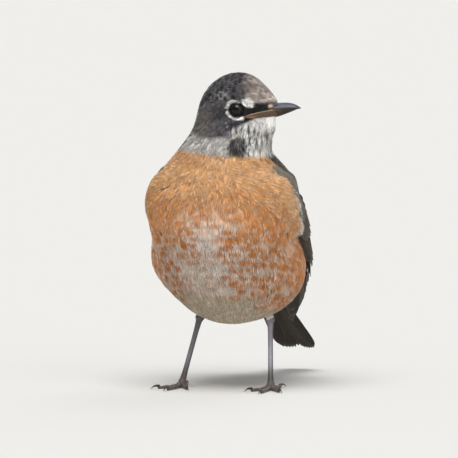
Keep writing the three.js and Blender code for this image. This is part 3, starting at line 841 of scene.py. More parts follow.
SKIN_MOOD, SKIN_SHADE = 0.35, 0.95
skin_places, skin_faces = skin_mesh()
skin_colours = SKIN_SHADE * markings(skin_places, SKIN_MOOD)[1]
skin = new_piece(
    "skin", skin_places, skin_faces, down, skin_colours, sheet=skin_sheet(skin_faces)
)
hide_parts("head", "neck", "trunk", "tail_coverts")
print("skin triangles:", len(skin_faces))

# %% [markdown]
# ## The lie of the coat
# Feathers point away from the bill: back over the crown and cheeks, down the throat and neck, then
# down the breast and back under the belly to the tail. Combing each feather by hand is how a groomer
# would do it. Here two directions, one for the head and one for the trunk, are mixed by height and
# pressed flat onto the surface, so that any place knows its own lie.

# %% Which way the feathers point
TRUNK_BACKWARD = -pitched(TRUNK_PITCH)[1]
DOWNWARD = np.array([0, 0, -1.0])


def lie_at(points, out):
    """The way feathers point at places on the form.

    On the head: backward * (1 - 0.75 drop) + downward * (0.12 + 0.88 drop), drop growing from crown to
    throat. On the trunk: along its axis to the tail, turned downward in front and under the belly.
    The two are mixed by height, and the part that points out of the form is taken away.
    """
    _, forward, up = np.moveaxis(in_head(points), -1, 0)
    drop = ease(8, -9, up)[..., None]
    drop = np.maximum(drop, ease(-6, -16, forward)[..., None])
    head = -FORWARD * (1 - 0.75 * drop) + DOWNWARD * (0.12 + 0.88 * drop)
    chin = ease(6, 12, forward)[..., None] * ease(-5, -8, up)[..., None]
    head = head * (1 - chin) + (-UP - 0.35 * FORWARD) * chin
    on_trunk = ease(128, 108, points[..., 2])[..., None]
    low = ease(70, 45, points[..., 2])[..., None] * ease(20, -20, points[..., 1])[..., None]
    front = ease(0.1, 0.8, -out[..., 1])[..., None] * (1 - low)
    trunk = TRUNK_BACKWARD * (1 - 0.4 * low - 0.5 * front)
    trunk = trunk + DOWNWARD * (0.25 + 0.35 * low + 0.35 * front)
    way = head * (1 - on_trunk) + trunk * on_trunk
    way = way - out * np.sum(way * out, axis=-1, keepdims=True)
    return unit(way)


print("feathers of the crown point", lie_at(crown_top, UP).round(2))


# %% [markdown]
# ## Planting
# Real feathers keep their distance from one another in loose rows. Throwing places at random and
# dropping those too near an earlier one gives the same look. The places are thrown on the skin's own
# sheet, with more of them where a cell of the sheet covers more of the bird, so each knows where its
# patch of the unwrap is. The spacing is a function of place: close on the face, wide on the breast.

# %% Places for the feathers
FACE_CLEAR = 3.35
BACK_SPACING, BREAST_SPACING, NECK_SPACING, HEAD_SPACING = 4.1, 3.1, 1.9, 1.3
THROWN = 42000


def spacing_at(points):
    """Distance between neighbouring feathers, mm."""
    _, forward, up = np.moveaxis(in_head(points), -1, 0)
    z = points[..., 2]
    breast = BREAST_SPACING + 0.8 * ease(102, 84, z)
    body = np.where(points[..., 1] > back_limit(points), BACK_SPACING, breast)
    head = HEAD_SPACING + 0.4 * ease(2, -8, forward)
    spacing = NECK_SPACING + (body - NECK_SPACING) * ease(120, 104, z)
    return spacing + (head - spacing) * ease(-22, -10, up) * ease(-18, -10, forward)


across_cell = np.roll(outline, -1, axis=1)[:-1] - outline[:-1]
area = np.linalg.norm(np.cross(across_cell, outline[1:] - outline[:-1]), axis=-1)
crowd = area / spacing_at(outline[:-1]) ** 2
cells = chance.choice(crowd.size, size=THROWN, p=(crowd / crowd.sum()).ravel())
thrown_row = (cells // COLUMNS + chance.random(cells.size)) / (ROWS - 1)
thrown_row = thrown_row * (1 - 2 * SHEET_MARGIN) + SHEET_MARGIN
thrown_column = (cells % COLUMNS + chance.random(cells.size)) / COLUMNS % 1
thrown = outline_points(thrown_column, thrown_row)


def search_tree(points):
    """A tree of points that finds the near ones fast."""
    tree = kdtree.KDTree(len(points))
    for i, point in enumerate(points):
        tree.insert(Vector(point), i)
    tree.balance()
    return tree


def spread_out(points, spacing):
    """Keeps a place only where no place kept before it is nearer than its spacing.

    Below the collar distances count 0.72 across and 1.55 up and down, so feathers stand in loose rows.
    """
    body = ease(114, 98, points[:, 2])
    wide, high = 1 - 0.28 * body, np.minimum(points[:, 2] - 106, 0) * 0.55
    points = np.stack([points[:, 0] * wide, points[:, 1] * wide, points[:, 2] + high], axis=-1)
    tree = search_tree(points)
    kept = np.zeros(len(points), bool)
    dropped = np.zeros(len(points), bool)
    for i, point in enumerate(points):
        if dropped[i]:
            continue
        kept[i] = True
        for _, other, _ in tree.find_range(Vector(point), spacing[i]):
            dropped[other] = True
    return kept


kept = spread_out(thrown, spacing_at(thrown))
roots, root_sheet = thrown[kept], np.stack([thrown_column, thrown_row], axis=-1)[kept]
root_mood = chance.random(len(roots))
side, forward, up = np.moveaxis(in_head(roots), -1, 0)
open_skin = (eye_distance(roots) > FACE_CLEAR - 0.85) | (np.abs(side) < 7)
on_bill = (forward > 15.8) & (up < -1.5) & (up > -9)
roots, root_sheet, root_mood = (each[open_skin & ~on_bill] for each in (roots, root_sheet, root_mood))
print("contour feathers planted:", len(roots))

# %% [markdown]
# ## A contour feather
# A body feather is a soft fan of barbs on a thin shaft, rounded like a shell, and its free end lies over
# the base of the next. A flat leaf with a picture of barbs would look like a fish scale. So each feather
# is a tuft of tapered blades, one for each lock of barbs: they leave the shaft, spread, run side by side
# and end raggedly. A blade has three-cornered rings and a point, sixteen to twenty-eight small faces.
# Every ring is then lifted or lowered to its own level over the body: on the skin at the root and at
# the outline at the tip. So the whole coat lies like shingles and keeps the bird's outline.

# %% Blades
DARKEST = 0.004
ON_SHEET = 0.0015
plume = grained_material("plume", 0.8, 1500.0, 0.82, 1.12, stretch=(1, 1, 0.3), sheen=0.08, specular=0.15)


def parted_round_eyes(points):
    """Points moved away from each eye: distance from its axis d becomes (d^4 + 2.75^4)^(1/4)."""
    side, forward, up = np.moveaxis(in_head(points), -1, 0)
    away = np.maximum(eye_distance(points), 1e-3)
    pushed = (away**4 + (FACE_CLEAR - 0.6) ** 4) ** 0.25
    share = np.where(np.abs(side) > 6, pushed / away - 1, 0.0)[..., None]
    return points + share * ((forward - EYE_FORWARD)[..., None] * FORWARD + (up - EYE_UP)[..., None] * UP)


def dip_round_eyes(points):
    """How much the coat sinks towards the lids: 1.7 mm * exp(-(mm past the rim / 2.5)^2)."""
    side = np.abs(in_head(points)[..., 0])
    past_rim = (eye_distance(points) - FACE_CLEAR) / 2.5
    return 1.7 * np.exp(-np.clip(past_rim, 0, None) ** 2) * ease(6, 8, side)


def blade_faces(count, rings):
    """Triangles of many blades: three sides between rings, one at the root and three at the point.

    Each is written so that it faces out of its blade.
    """
    corner = np.arange(3)
    after = (corner + 1) % 3
    faces = [[2, 1, 0]]
    for ring in range(rings - 1):
        a, b = 3 * ring + corner, 3 * ring + after
        faces += np.stack([b, b + 3, a], axis=-1).tolist() + np.stack([b + 3, a + 3, a], axis=-1).tolist()
    last = 3 * (rings - 1)
    faces += np.stack([last + after, np.full(3, last + 3), last + corner], axis=-1).tolist()
    template = np.array(faces)
    size = 3 * rings + 1
    return (template[None] + size * np.arange(count)[:, None, None]).reshape(-1, 3)


def blade_mesh(name, spine, over, thickness, colour, patch):
    """An object of tapered blades along spines; over points off the body. Rings of three, then a point."""
    rings = spine.shape[-2] - 1
    tangent = unit(np.gradient(spine, axis=-2))
    across = unit(np.cross(over, tangent))
    half = np.interp(np.linspace(0, 1, rings + 1), [0, 0.3, 0.7, 1], [0.6, 1, 0.9, 0.1])[:, None]
    half = half * np.asarray(thickness)[..., None, None] / 2
    corners = np.stack([spine - across * half, spine + across * half, spine + over * half * 0.35], axis=-2)
    corners = corners[..., :rings, :, :].reshape(*spine.shape[:-2], rings * 3, 3)
    points = np.concatenate([corners, spine[..., rings:, :]], axis=-2).reshape(-1, 3)

    def spread(values):
        rings_of = np.repeat(values[..., :rings, :], 3, axis=-2)
        return np.concatenate([rings_of, values[..., rings:, :]], axis=-2).reshape(-1, values.shape[-1])

    count = int(np.prod(spine.shape[:-2]))
    faces = blade_faces(count, rings)
    new_piece(name, points, faces, plume, spread(colour).clip(DARKEST, 1), sheet=spread(patch))
    print(name, "blades", count, "triangles", len(faces))


# %% Tufts
def tufts(
    name, places, sheet, mood, length, width, blades, thickness,
    rings=4, ragged=0.05, lift=0.0, swing=0.1, depth=None, arch=0.25, lie=None, cover=None, colours=markings,
    fine=False,
):
    """One object of feathers, each a fan of tapered blades that lies on the form.

    For a blade at a (from -1 to 1 across its feather) and t (0 at its root, 1 at its tip):
    forward = length * t * (1 - 0.2 a^2 + ragged), sideways = width / 2 * a * (1 - (1 - t)^1.7),
    level = -depth * (1 - t)^1.4 + lift * t^3 - arch * a^2 * t, all measured on the form's own surface,
    with cover, the height of what lies between body and feather, added. Colours are read along
    the middle of each feather, or with fine along each blade. Its rim is fringed, its root downy.
    """
    count = len(places)
    _, out = form(places)
    way = lie_at(places, out) if lie is None else lie
    aside = unit(np.cross(out, way))
    turn = chance.normal(0, swing, count)[:, None]
    way, aside = way * np.cos(turn) + aside * np.sin(turn), aside * np.cos(turn) - way * np.sin(turn)
    a = (np.arange(blades) + 0.5) / blades * 2 - 1
    a = a + chance.normal(0, 0.35 / blades, (count, blades))
    soft = 1 + 1.2 * ease(94, 106, places[:, 2])[:, None]
    rough = 1 - 0.2 * a**2 + ragged * soft * chance.normal(0, 1, a.shape).clip(-2, 1.5)
    t = np.linspace(0, 1, rings + 1) ** (0.6 if rings > 4 else 0.8)
    t = np.broadcast_to(t, (count, blades, rings + 1))
    long = np.broadcast_to(length, count)[:, None, None] * t * rough[..., None]
    curl = chance.normal(0, 0.05, a.shape)[..., None] * t**2
    wide = np.broadcast_to(width, count)[:, None, None] / 2 * (a[..., None] * (1 - (1 - t) ** 1.7) + curl)
    deep = coat_depth(places) if depth is None else np.broadcast_to(depth, count)
    level = -deep[:, None, None] * (1 - t) ** 1.4 - arch / soft[..., None] * a[..., None] ** 2 * t
    level = level + np.broadcast_to(lift, count)[:, None, None] * t**3
    level = level + chance.normal(0, 0.05, a.shape)[..., None] * t
    spine = places[:, None, None] + way[:, None, None] * long[..., None]
    spine = spine + aside[:, None, None] * wide[..., None]
    spine = parted_round_eyes(spine)
    for _ in range(2):
        found, over = form(spine)
        wanted = level - dip_round_eyes(spine) + (0 if cover is None else cover(spine))
        spine = spine + over * (wanted - found)[..., None]
    shown = spine if fine else spine[:, blades // 2][:, None]
    mood_along = mood[:, None, None] * np.where(t[:1, :1] < 0.6, 0.5, 1)
    base, middle, fringe, wide_fringe = colours(shown, mood_along)
    edge = 1 - wide_fringe * (1 + 0.25 * chance.normal(0, 1, a.shape)[..., None])
    edge = edge - 0.22 * np.abs(a[..., None]) ** 2.5
    pale = ease(-0.05, 0.05, t - edge)
    colour = blend(middle + np.zeros(t.shape + (1,)), fringe, pale)
    colour = blend(colour, base, (1 - ease(0.25, 0.5, t)) * (1 - pale))
    colour = colour * (1 + 0.1 * chance.normal(0, 1, a.shape)[..., None, None])
    patch = np.stack([np.broadcast_to(a[..., None], t.shape), 2 * t - 1], axis=-1) * ON_SHEET
    patch = np.clip(sheet, 0.002, 0.998)[:, None, None] + patch
    thick = thickness * (1 + 0.15 * chance.normal(0, 1, a.shape))
    blade_mesh(name, spine, over, thick, colour, patch)

# %% [markdown]
# ## The coat, region by region
# Each region gets its own length, width and number of blades: under three millimetres round the eyes,
# four on the face, a good centimetre on breast, belly and back. Feathers that the folded wings would
# hide are left out. Pieces are kept under two hundred thousand triangles.

# %% Planting the regions
MOST_TRIANGLES = 190000
WRIST = np.array([-28.0, 106.0])
WING_TIP = np.array([68.0, 31.0])
WING_LENGTH = float(np.linalg.norm(WING_TIP - WRIST))
WING_ALONG = (WING_TIP - WRIST) / WING_LENGTH
WING_UP = np.array([-WING_ALONG[1], WING_ALONG[0]])


def on_wing_plane(points):
    """Share of the way from wrist to wing tip, and mm above that line, seen from the side."""
    offset = points[..., 1:] - WRIST
    return offset @ WING_ALONG / WING_LENGTH, offset @ WING_UP


def under_wing(points, out):
    """True well inside the outline of the folded wing."""
    share, above = on_wing_plane(points)
    low = -2 - 4 * ease(0, 0.3, share)
    top = 4 + 15 * ease(0, 0.28, share) - 5 * ease(0.4, 0.9, share)
    inside = (share > 0.05) & (share < 0.8) & (above > low + 1) & (above < top - 3)
    return inside & (np.abs(out[..., 0]) > 0.25)


uncovered = ~under_wing(roots, form(roots)[1])
roots, root_sheet, root_mood = (each[uncovered] for each in (roots, root_sheet, root_mood))
side, forward, up = np.moveaxis(in_head(roots), -1, 0)
x, y, z = roots.T
is_head = (z > 127) | ((z > 120) & (forward > -8))
is_throat = is_head & (up < -6) & (forward > -1.5)
is_face = is_head & ~is_throat
is_neck = ~is_head & (z > 117 - 0.1 * x)
is_back = ~is_head & ~is_neck & (y > back_limit(roots)) & (z > 52 - 0.3 * (y - 20))
is_belly = ~is_head & ~is_neck & ~is_back & (z < 50)
is_breast = ~is_head & ~is_neck & ~is_back & ~is_belly
is_lid = is_face & (eye_distance(roots) < 8.0) & (np.abs(side) > 6)
breast_long = np.interp(z, [50, 84, 96, 110], [13.0, 12.5, 11.0, 9.5])
breast_wide = np.interp(z, [50, 84, 96, 110], [10.0, 9.5, 7.5, 5.4])
upper_breast = (is_breast & (z > 95), breast_long, breast_wide)
lower_breast = (is_breast & (z <= 95), breast_long, breast_wide)
REGIONS = {
    # name: (who, length, width, blades, blade width, rings, ragged, swing, arch, lift, slot)
    "lid_feathers": (is_lid, 2.5, 2.0, 11, 0.24, 3, 0.08, 0.10, 0.1, 0.0, "head_feathers"),
    "face_feathers": (is_face & ~is_lid, 4.0, 2.6, 13, 0.25, 3, 0.10, 0.12, 0.1, 0.05, "head_feathers"),
    "throat_feathers": (is_throat, 5.8, 1.5, 10, 0.22, 3, 0.14, 0.10, 0.05, 0.2, "head_feathers"),
    "neck_feathers": (is_neck, 7.5, 3.2, 17, 0.24, 4, 0.1, 0.22, 0.0, 0.05, "head_feathers"),
    "upper_breast_feathers": (*upper_breast, 22, 0.3, 4, 0.05, 0.1, 0.2, 0.0, "body_feathers"),
    "breast_feathers": (*lower_breast, 31, 0.36, 5, 0.06, 0.1, 0.2, 0.0, "body_feathers"),
    "belly_feathers": (is_belly, 13.0, 10.0, 29, 0.46, 4, 0.08, 0.12, 0.2, 0.1, "vent_feathers"),
    "back_feathers": (is_back, 12.0, 8.0, 28, 0.40, 4, 0.05, 0.08, 0.3, 0.0, "covert_feathers"),
}


def plant(name, who, length, width, blades, thickness, rings, ragged, swing, arch, lift, slot):
    """Tufts at all the chosen places, in as many objects as keep each under MOST_TRIANGLES.

    Head and breast carry the fine pattern, so there each blade reads its own colours.
    """
    who = np.flatnonzero(who)
    per_feather = blades * (6 * (rings - 1) + 4)
    parts = max(1, math.ceil(len(who) * per_feather / MOST_TRIANGLES))
    for part, chosen in enumerate(np.array_split(who, parts)):
        long = np.broadcast_to(length, len(roots))[chosen] * chance.uniform(0.9, 1.1, len(chosen))
        wide = np.broadcast_to(width, len(roots))[chosen]
        tufts(
            f"{name}_{part + 1}", roots[chosen], root_sheet[chosen], root_mood[chosen], long, wide, blades,
            thickness, rings=rings, ragged=ragged, swing=swing, arch=arch, lift=lift,
            fine=slot in ("head_feathers", "body_feathers"),
        )


for name, settings in REGIONS.items():
    plant(name, *settings)

# %% [markdown]
# ## Where breast meets wing
# A fluffed bird's side-breast feathers spill over the bend of the folded wing, so that from in front only a
# narrow band of wing shows beyond them. They are planted on the wing's own plane, and ride higher by
# the thickness of the arm beneath. Along their last row they are nearly white.

# %% The wing's place and the arm
SIDES = (("left", 1), ("right", -1))
TIP_ASIDE = 13.0
FOLD = np.array([-0.8, -0.37, -0.47])
FOLD_UNDER = -8.0
ARM_SHARE = 0.53


def stiff_tip(share, above):
    """Least distance aside: 13 at the tip + 48 (1 - share) - 0.04 above^2, and none before share 0.78."""
    aside = TIP_ASIDE + 48 * (1 - share) - 0.04 * np.maximum(above, 0) ** 2
    return aside - 200 * np.maximum(0.78 - share, 0)


def wing_place(side):
    """place(share, above, level) for one wing: where a level ray from the bird's middle meets the bed.

    Below 8 mm under the wing's line the wing folds in under the body.
    """

    def place(share, above, level):
        share, above, level = np.broadcast_arrays(share, above, level)
        held = np.maximum(above, FOLD_UNDER)
        spot = WRIST + share[..., None] * WING_LENGTH * WING_ALONG + held[..., None] * WING_UP
        origin = np.concatenate([np.zeros(share.shape + (1,)), spot], axis=-1)
        ray = np.array([side, 0.0, 0.0])
        far = np.maximum(reach(origin, ray, level, WING_BED, far=60.0), stiff_tip(share, above) + level)
        return origin + ray * far[..., None] + (held - above)[..., None] * FOLD * [side, 1, 1]

    return place


def arm_edges(share):
    """The feathered arm's lower and upper edge, mm from the wing's line: down to -8.5 and up to 24."""
    t = share / ARM_SHARE
    return -4 - 4.5 * ease(0, 0.5, t), 5 + 19 * ease(0, 0.5, t) - 5 * ease(0.6, 1, t)


def pad_level(share, above):
    """Level of the feathered arm's outer side over the bed: thickest in its middle, thin at its edges."""
    low, top = arm_edges(share)
    across = np.clip((above - low) / (top - low), 0, 1)
    thick = 0.8 + 3.4 * ease(0, 0.9, share / ARM_SHARE)
    slim = 1 - 0.7 * ease(4, 14, above) * (1 - ease(0.25, 0.42, share))
    return 0.75 + thick * slim * (0.2 + 0.8 * np.sin(math.pi * across) ** 0.5)


def over_the_arm(points):
    """How far the arm lifts what lies over it: its level, easing in over 3 mm round its outline."""
    share, above = on_wing_plane(points)
    low = -4 - 4.5 * ease(0, 0.27, share)
    top = 5 + 19 * ease(0, 0.27, share)
    inside = ease(-0.05, 0.0, share) * ease(-3, 0.5, above - low) * ease(-3, 0.5, top - above)
    return inside * (pad_level(np.clip(share, 0, 0.5), above) + 0.25)


print("the arm stands off the bed by, mm:", pad_level(0.25, 8.0).round(1))


# %% Feathers over the bend of the wing
def side_breast_edge(above):
    """The share of the wing at which the side-breast feathers end, for a height above its line."""
    return np.interp(above, [-9, -4, 0, 3, 6, 10, 15], [0.30, 0.27, 0.235, 0.21, 0.17, 0.105, 0.05])


outline_tree = search_tree(outline.reshape(-1, 3))


def sheet_place(points):
    """Where on the skin's sheet the nearest place of the outline is."""
    nearest = np.array([outline_tree.find(Vector(point))[1] for point in points])
    return np.stack([column_grid.ravel()[nearest], row_grid.ravel()[nearest]], axis=-1)


def side_breast_colours(points, mood):
    """Orange like the breast beside them; those that end nearest the wing have broad whitish ends."""
    share, above = on_wing_plane(points)
    last = ease(-0.055, -0.005, share - side_breast_edge(above)) * (0.6 + 0.4 * ease(8, 2, above))
    middle = blend(ORANGE, ORANGE_DEEP, 0.6 * np.modf(mood * 5.3)[0] * ease(-2, -8, above))
    middle = blend(middle, FRINGE, 0.3 * last)
    fringe = blend(blend(ORANGE, FRINGE, 0.5 * mood), WHITE, last)
    return middle, middle, fringe, 0.08 + 0.16 * last


def shoulder_colours(points, mood):
    """The back's grey with paler edges, for the soft feathers between back and wing."""
    even = np.zeros(points.shape[:-1])
    middle = blend(BACK_GREY, BACK_PALE, 0.35 * np.modf(mood * 5.3)[0] + even)
    return middle * 0.7, middle, blend(middle, BACK_PALE, even + 0.8), even + 0.09


def tufts_on_wing(title, side, share, above, wanted, length, width, blades, colours, lift=0.0):
    """Feathers at jittered places of the wing's plane, lying back along it over the arm."""
    share = share + np.arange(share.shape[1])[None] % 2 * 0.014 + chance.normal(0, 0.005, share.shape)
    above = above + chance.normal(0, 0.5, share.shape)
    wanted = wanted(share, above)
    places = wing_place(side)(share[wanted], above[wanted], 0.0)
    places = places[places[:, 2] < collar_height(places) - 1]
    _, out = form(places)
    backward = np.concatenate([np.zeros((len(places), 1)), np.tile(WING_ALONG, (len(places), 1))], axis=1)
    lie = unit(backward - out * np.sum(backward * out, axis=-1, keepdims=True))
    tufts(
        title, places, sheet_place(places), chance.random(len(places)), length, width, blades, 0.34,
        rings=5, ragged=0.05, swing=0.08, depth=1.6, arch=0.15, lie=lie, cover=over_the_arm,
        colours=colours, lift=lift,
    )


for name, side in SIDES:
    share, above = np.meshgrid(np.linspace(-0.16, 0.28, 16), np.linspace(-9, 15, 10), indexing="ij")
    tufts_on_wing(
        f"side_breast_feathers_{name}", side, share, above,
        lambda share, above: share < side_breast_edge(above) - 0.085,
        11.0, 7.0, 32, side_breast_colours, lift=0.3,
    )
    share, above = np.meshgrid(np.linspace(-0.02, 0.42, 11), np.linspace(9, 24, 6), indexing="ij")
    tufts_on_wing(
        f"shoulder_feathers_{name}", side, share, above,
        lambda share, above: share > side_breast_edge(above) - 0.06,
        12.0, 8.5, 30, shoulder_colours,
    )

# %% [markdown]
# ## Vanes: the firm feathers of wing and tail
# Flight feathers and their coverts are firm blades with a shaft, zipped from hundreds of barbs. Hundreds
# of real barbs each would be wasted at this size, so each feather is one thin closed vane: a grid
# across and along, slightly arched, with a raised shaft and a rounded tip. The barbs are fine slanting
# lines in bump and colour, drawn from the "lay" map, which knows how far across and along it is.
# All vanes of a row are worked out together, as one array of feathers by stations by columns.

# %% The barbs of a vane
BARB_SPACING = 0.55
BARB_SLANT = 1.2


def barb_lines(material, shader, colour, spacing, slant):
    """Slanting lines on both sides of the shaft: sin(2 pi (along - slant |across|) / spacing).

    They darken the colour a little between barbs and give the bump its height.
    """
    lay = node(material, "ShaderNodeUVMap", uv_map="lay")
    parts = node(material, "ShaderNodeSeparateXYZ")
    away = node(material, "ShaderNodeMath", operation="ABSOLUTE")
    leaning = node(material, "ShaderNodeMath", operation="MULTIPLY_ADD")
    leaning.inputs[1].default_value = -slant
    wave = node(material, "ShaderNodeMath", operation="MULTIPLY")
    wave.inputs[1].default_value = 2 * math.pi / spacing
    sine = node(material, "ShaderNodeMath", operation="SINE")
    shade = node(material, "ShaderNodeMapRange", From_Min=-1.0, From_Max=1.0, To_Min=0.84, To_Max=1.08)
    scaled = node(material, "ShaderNodeVectorMath", operation="SCALE")
    tinted, _ = varied(material, colour, 500.0, 0.82, 1.15)
    link(
        material,
        lay.outputs["UV"], parts.inputs[0],
        parts.outputs["X"], away.inputs[0],
        away.outputs[0], leaning.inputs[0],
        parts.outputs["Y"], leaning.inputs[2],
        leaning.outputs[0], wave.inputs[0],
        wave.outputs[0], sine.inputs[0],
        sine.outputs[0], shade.inputs["Value"],
        shade.outputs["Result"], scaled.inputs["Scale"],
        tinted, scaled.inputs[0],
        scaled.outputs[0], shader.inputs["Base Color"],
    )
    bumped(material, shader, sine.outputs[0], 0.00006, 0.7)


vane, vane_shader, vane_colour = coloured_material("vane", 0.6, specular=0.2)
barb_lines(vane, vane_shader, vane_colour.outputs["Color"], BARB_SPACING, BARB_SLANT)
print("nodes in the vane:", len(vane.node_tree.nodes))


# %% Vanes
def vanes(
    name, place, root, tip, level, half, colours, slot,
    tilt=0.0, arch=0.35, shaft=0.0, thick=0.14, tip_round=0.05, stations=16, columns=11,
):
    """One object of firm feathers. place(along, aside, level) gives points; the rest are arrays.

    along = from root to tip by t, less tip_round * c^2 near the tip; aside = from root to tip by t,
    plus c * half width; level = from root to tip by t, + tilt * c + arch * (1 - c^2) + a ridge at the
    shaft. c runs from -1 to 1 across the vane, t from 0 to 1 along it. The underside is the same grid
    a thickness lower, and a rim of faces joins the two. On the bake's sheet the feathers stand side by
    side, upper face beside underside, with the rim as a narrow frame round the upper face.
    """
    count = len(root)
    t = 1 - (1 - np.linspace(0, 1, stations)) ** 1.5
    c = np.linspace(-1, 1, columns)
    c = np.sign(c) * np.abs(c) ** 0.8
    c = np.sort(np.concatenate([c[np.abs(c - shaft) > 0.12], [shaft - 0.07, shaft, shaft + 0.07]]))
    columns = len(c)
    c, t = np.meshgrid(c, t)
    c, t = c[None], t[None]
    root, tip, level = (np.asarray(each, float)[:, :, None, None] for each in (root, tip, level))
    half = np.broadcast_to(half, count)[:, None, None]
    tilt = np.broadcast_to(tilt, count)[:, None, None]
    wide = half * np.sqrt(1 - (1 - np.clip(t / 0.3, 0, 1)) ** 2 * 0.85)
    wide = wide * np.sqrt(np.clip(1 - np.clip((t - 0.8) / 0.203, 0, 1) ** 2.6, 0.003, 1))
    reached = t - tip_round * c**2 * t**3
    along = root[:, 0] + (tip[:, 0] - root[:, 0]) * reached
    aside = root[:, 1] + (tip[:, 1] - root[:, 1]) * t + c * wide
    height = level[:, 0] + (level[:, 1] - level[:, 0]) * t + tilt * c * (wide / half)
    height = height + arch * (1 - c**2) + 0.1 * np.exp(-(((c - shaft) / 0.06) ** 2)) * (1 - 0.6 * t)
    edge = np.clip((1 - np.abs(c)) * 12, 0, 1) * np.clip((1 - t) * 30, 0.2, 1)
    over = place(along, aside, height)
    under = place(along, aside, height - thick * (0.25 + 0.75 * edge))
    points = np.stack([over, under], axis=1).reshape(count, -1, 3)
    size = stations * columns
    faces = outward(points[0], plate_faces(stations, columns))
    flat = np.stack([0.23 + 0.19 * c, 0.03 + 0.94 * t], axis=-1).reshape(-1, 2)
    sheet = np.concatenate([flat, flat + [0.5, 0]])[faces]
    is_wall = np.arange(len(faces)) >= 2 * (stations - 1) * (columns - 1)
    framed = (flat[faces % size] - [0.23, 0.5]) * [1.12, 1.04] + [0.23, 0.5]
    sheet = np.where((faces >= size)[..., None] & is_wall[:, None, None], framed, sheet)
    number = np.arange(count)[:, None, None]
    sheet = np.stack([(sheet[..., 0] + number) / count, sheet[..., 1] + 0.0 * number], axis=-1)
    faces = (faces[None] + 2 * size * number).reshape(-1, 4)
    colour = colours(np.broadcast_to(c, wide.shape), np.broadcast_to(t, wide.shape), np.arange(count))
    colour = np.stack([colour, colour * 0.8], axis=1).reshape(-1, 3).clip(DARKEST, 1)
    steps = np.linalg.norm(np.diff(over, axis=1), axis=-1)[:, :, columns // 2]
    run = np.concatenate([np.zeros((count, 1)), np.cumsum(steps, axis=1)], axis=1)[:, :, None]
    lay = np.stack([(c - shaft) * half + 0 * run, run + 0 * c], axis=-1)
    lay = np.stack([lay, lay], axis=1).reshape(-1, 2)
    print(name, "vanes", count, "faces", len(faces))
    return new_piece(name, points.reshape(-1, 3), faces, vane, colour, lay, sheet.reshape(-1, 4, 2))


# %% [markdown]
# ## The folded wing
# Seen from the side a folded wing is a stack of rows. The tips of the primaries reach furthest back,
# the secondaries lie over them, the tertials over those, and coverts hide every root, each
# row shorter than the one beneath. In each row a feather nearer the back lies over the one below it, so
# what shows is its lower edge, which is paler. The wing rests on an imagined bed: the trunk, with one
# more lobe that bridges rump and tail. A place on it is a share of the way from the bend to the
# tip, a height above that line, and a level over the bed.

# %% Colours of wing and tail
VANE_DARK = srgb(41, 34, 26)
VANE_BROWN = srgb(57, 48, 37)
VANE_EDGE = srgb(122, 112, 98)
TAIL_MIDDLE, TAIL_DARK, TAIL_EDGE = srgb(60, 50, 39), srgb(46, 38, 29), srgb(126, 114, 98)
COVERT = srgb(62, 53, 42)
COVERT_EDGE = srgb(121, 110, 93)


def row(count, low, high, power=1.0):
    """Numbers from low to high for the feathers of a row, from the lowest feather to the highest."""
    return low + (high - low) * np.linspace(0, 1, count) ** power


def flight_colours(edge_pale=1.0, tip_pale=0.4):
    """Dark brown vanes with a paler lower edge, darker towards the covered side."""

    def colours(c, t, number):
        lift = chance.uniform(0.9, 1.1, len(number))[:, None, None, None]
        body = blend(VANE_BROWN, VANE_DARK, ease(-0.9, 0.2, c)) * np.ones(c.shape + (1,))
        edge = ease(-0.72, -0.93, c) * edge_pale
        edge = np.maximum(edge, ease(0.93, 0.99, t) * tip_pale)
        return blend(body, VANE_EDGE, edge) * lift

    return colours


def covert_colours(pale=0.7, light=0.0):
    """Grey-brown coverts with pale rims, darker along the shaft; light greys them towards the back."""

    def colours(c, t, number):
        lift = chance.uniform(0.88, 1.12, len(number))[:, None, None, None]
        body = blend(COVERT, VANE_BROWN, 0.7 * np.exp(-((c / 0.25) ** 2)))
        body = blend(body, BACK_PALE, light)
        edge = np.maximum(ease(0.7, 0.95, np.abs(c)), ease(0.84, 0.96, t)) * pale
        return blend(body, COVERT_EDGE, edge) * lift

    return colours


print("a pale edge gives back", VANE_EDGE.round(3), "of the light")


# %% The rows of a wing
def pairs(*ends):
    """From shares and heights of roots and of tips, and levels of both: three arrays of pairs."""
    ends = np.broadcast_arrays(*ends)
    return [np.stack(ends[first : first + 2], axis=-1) for first in (0, 2, 4)]


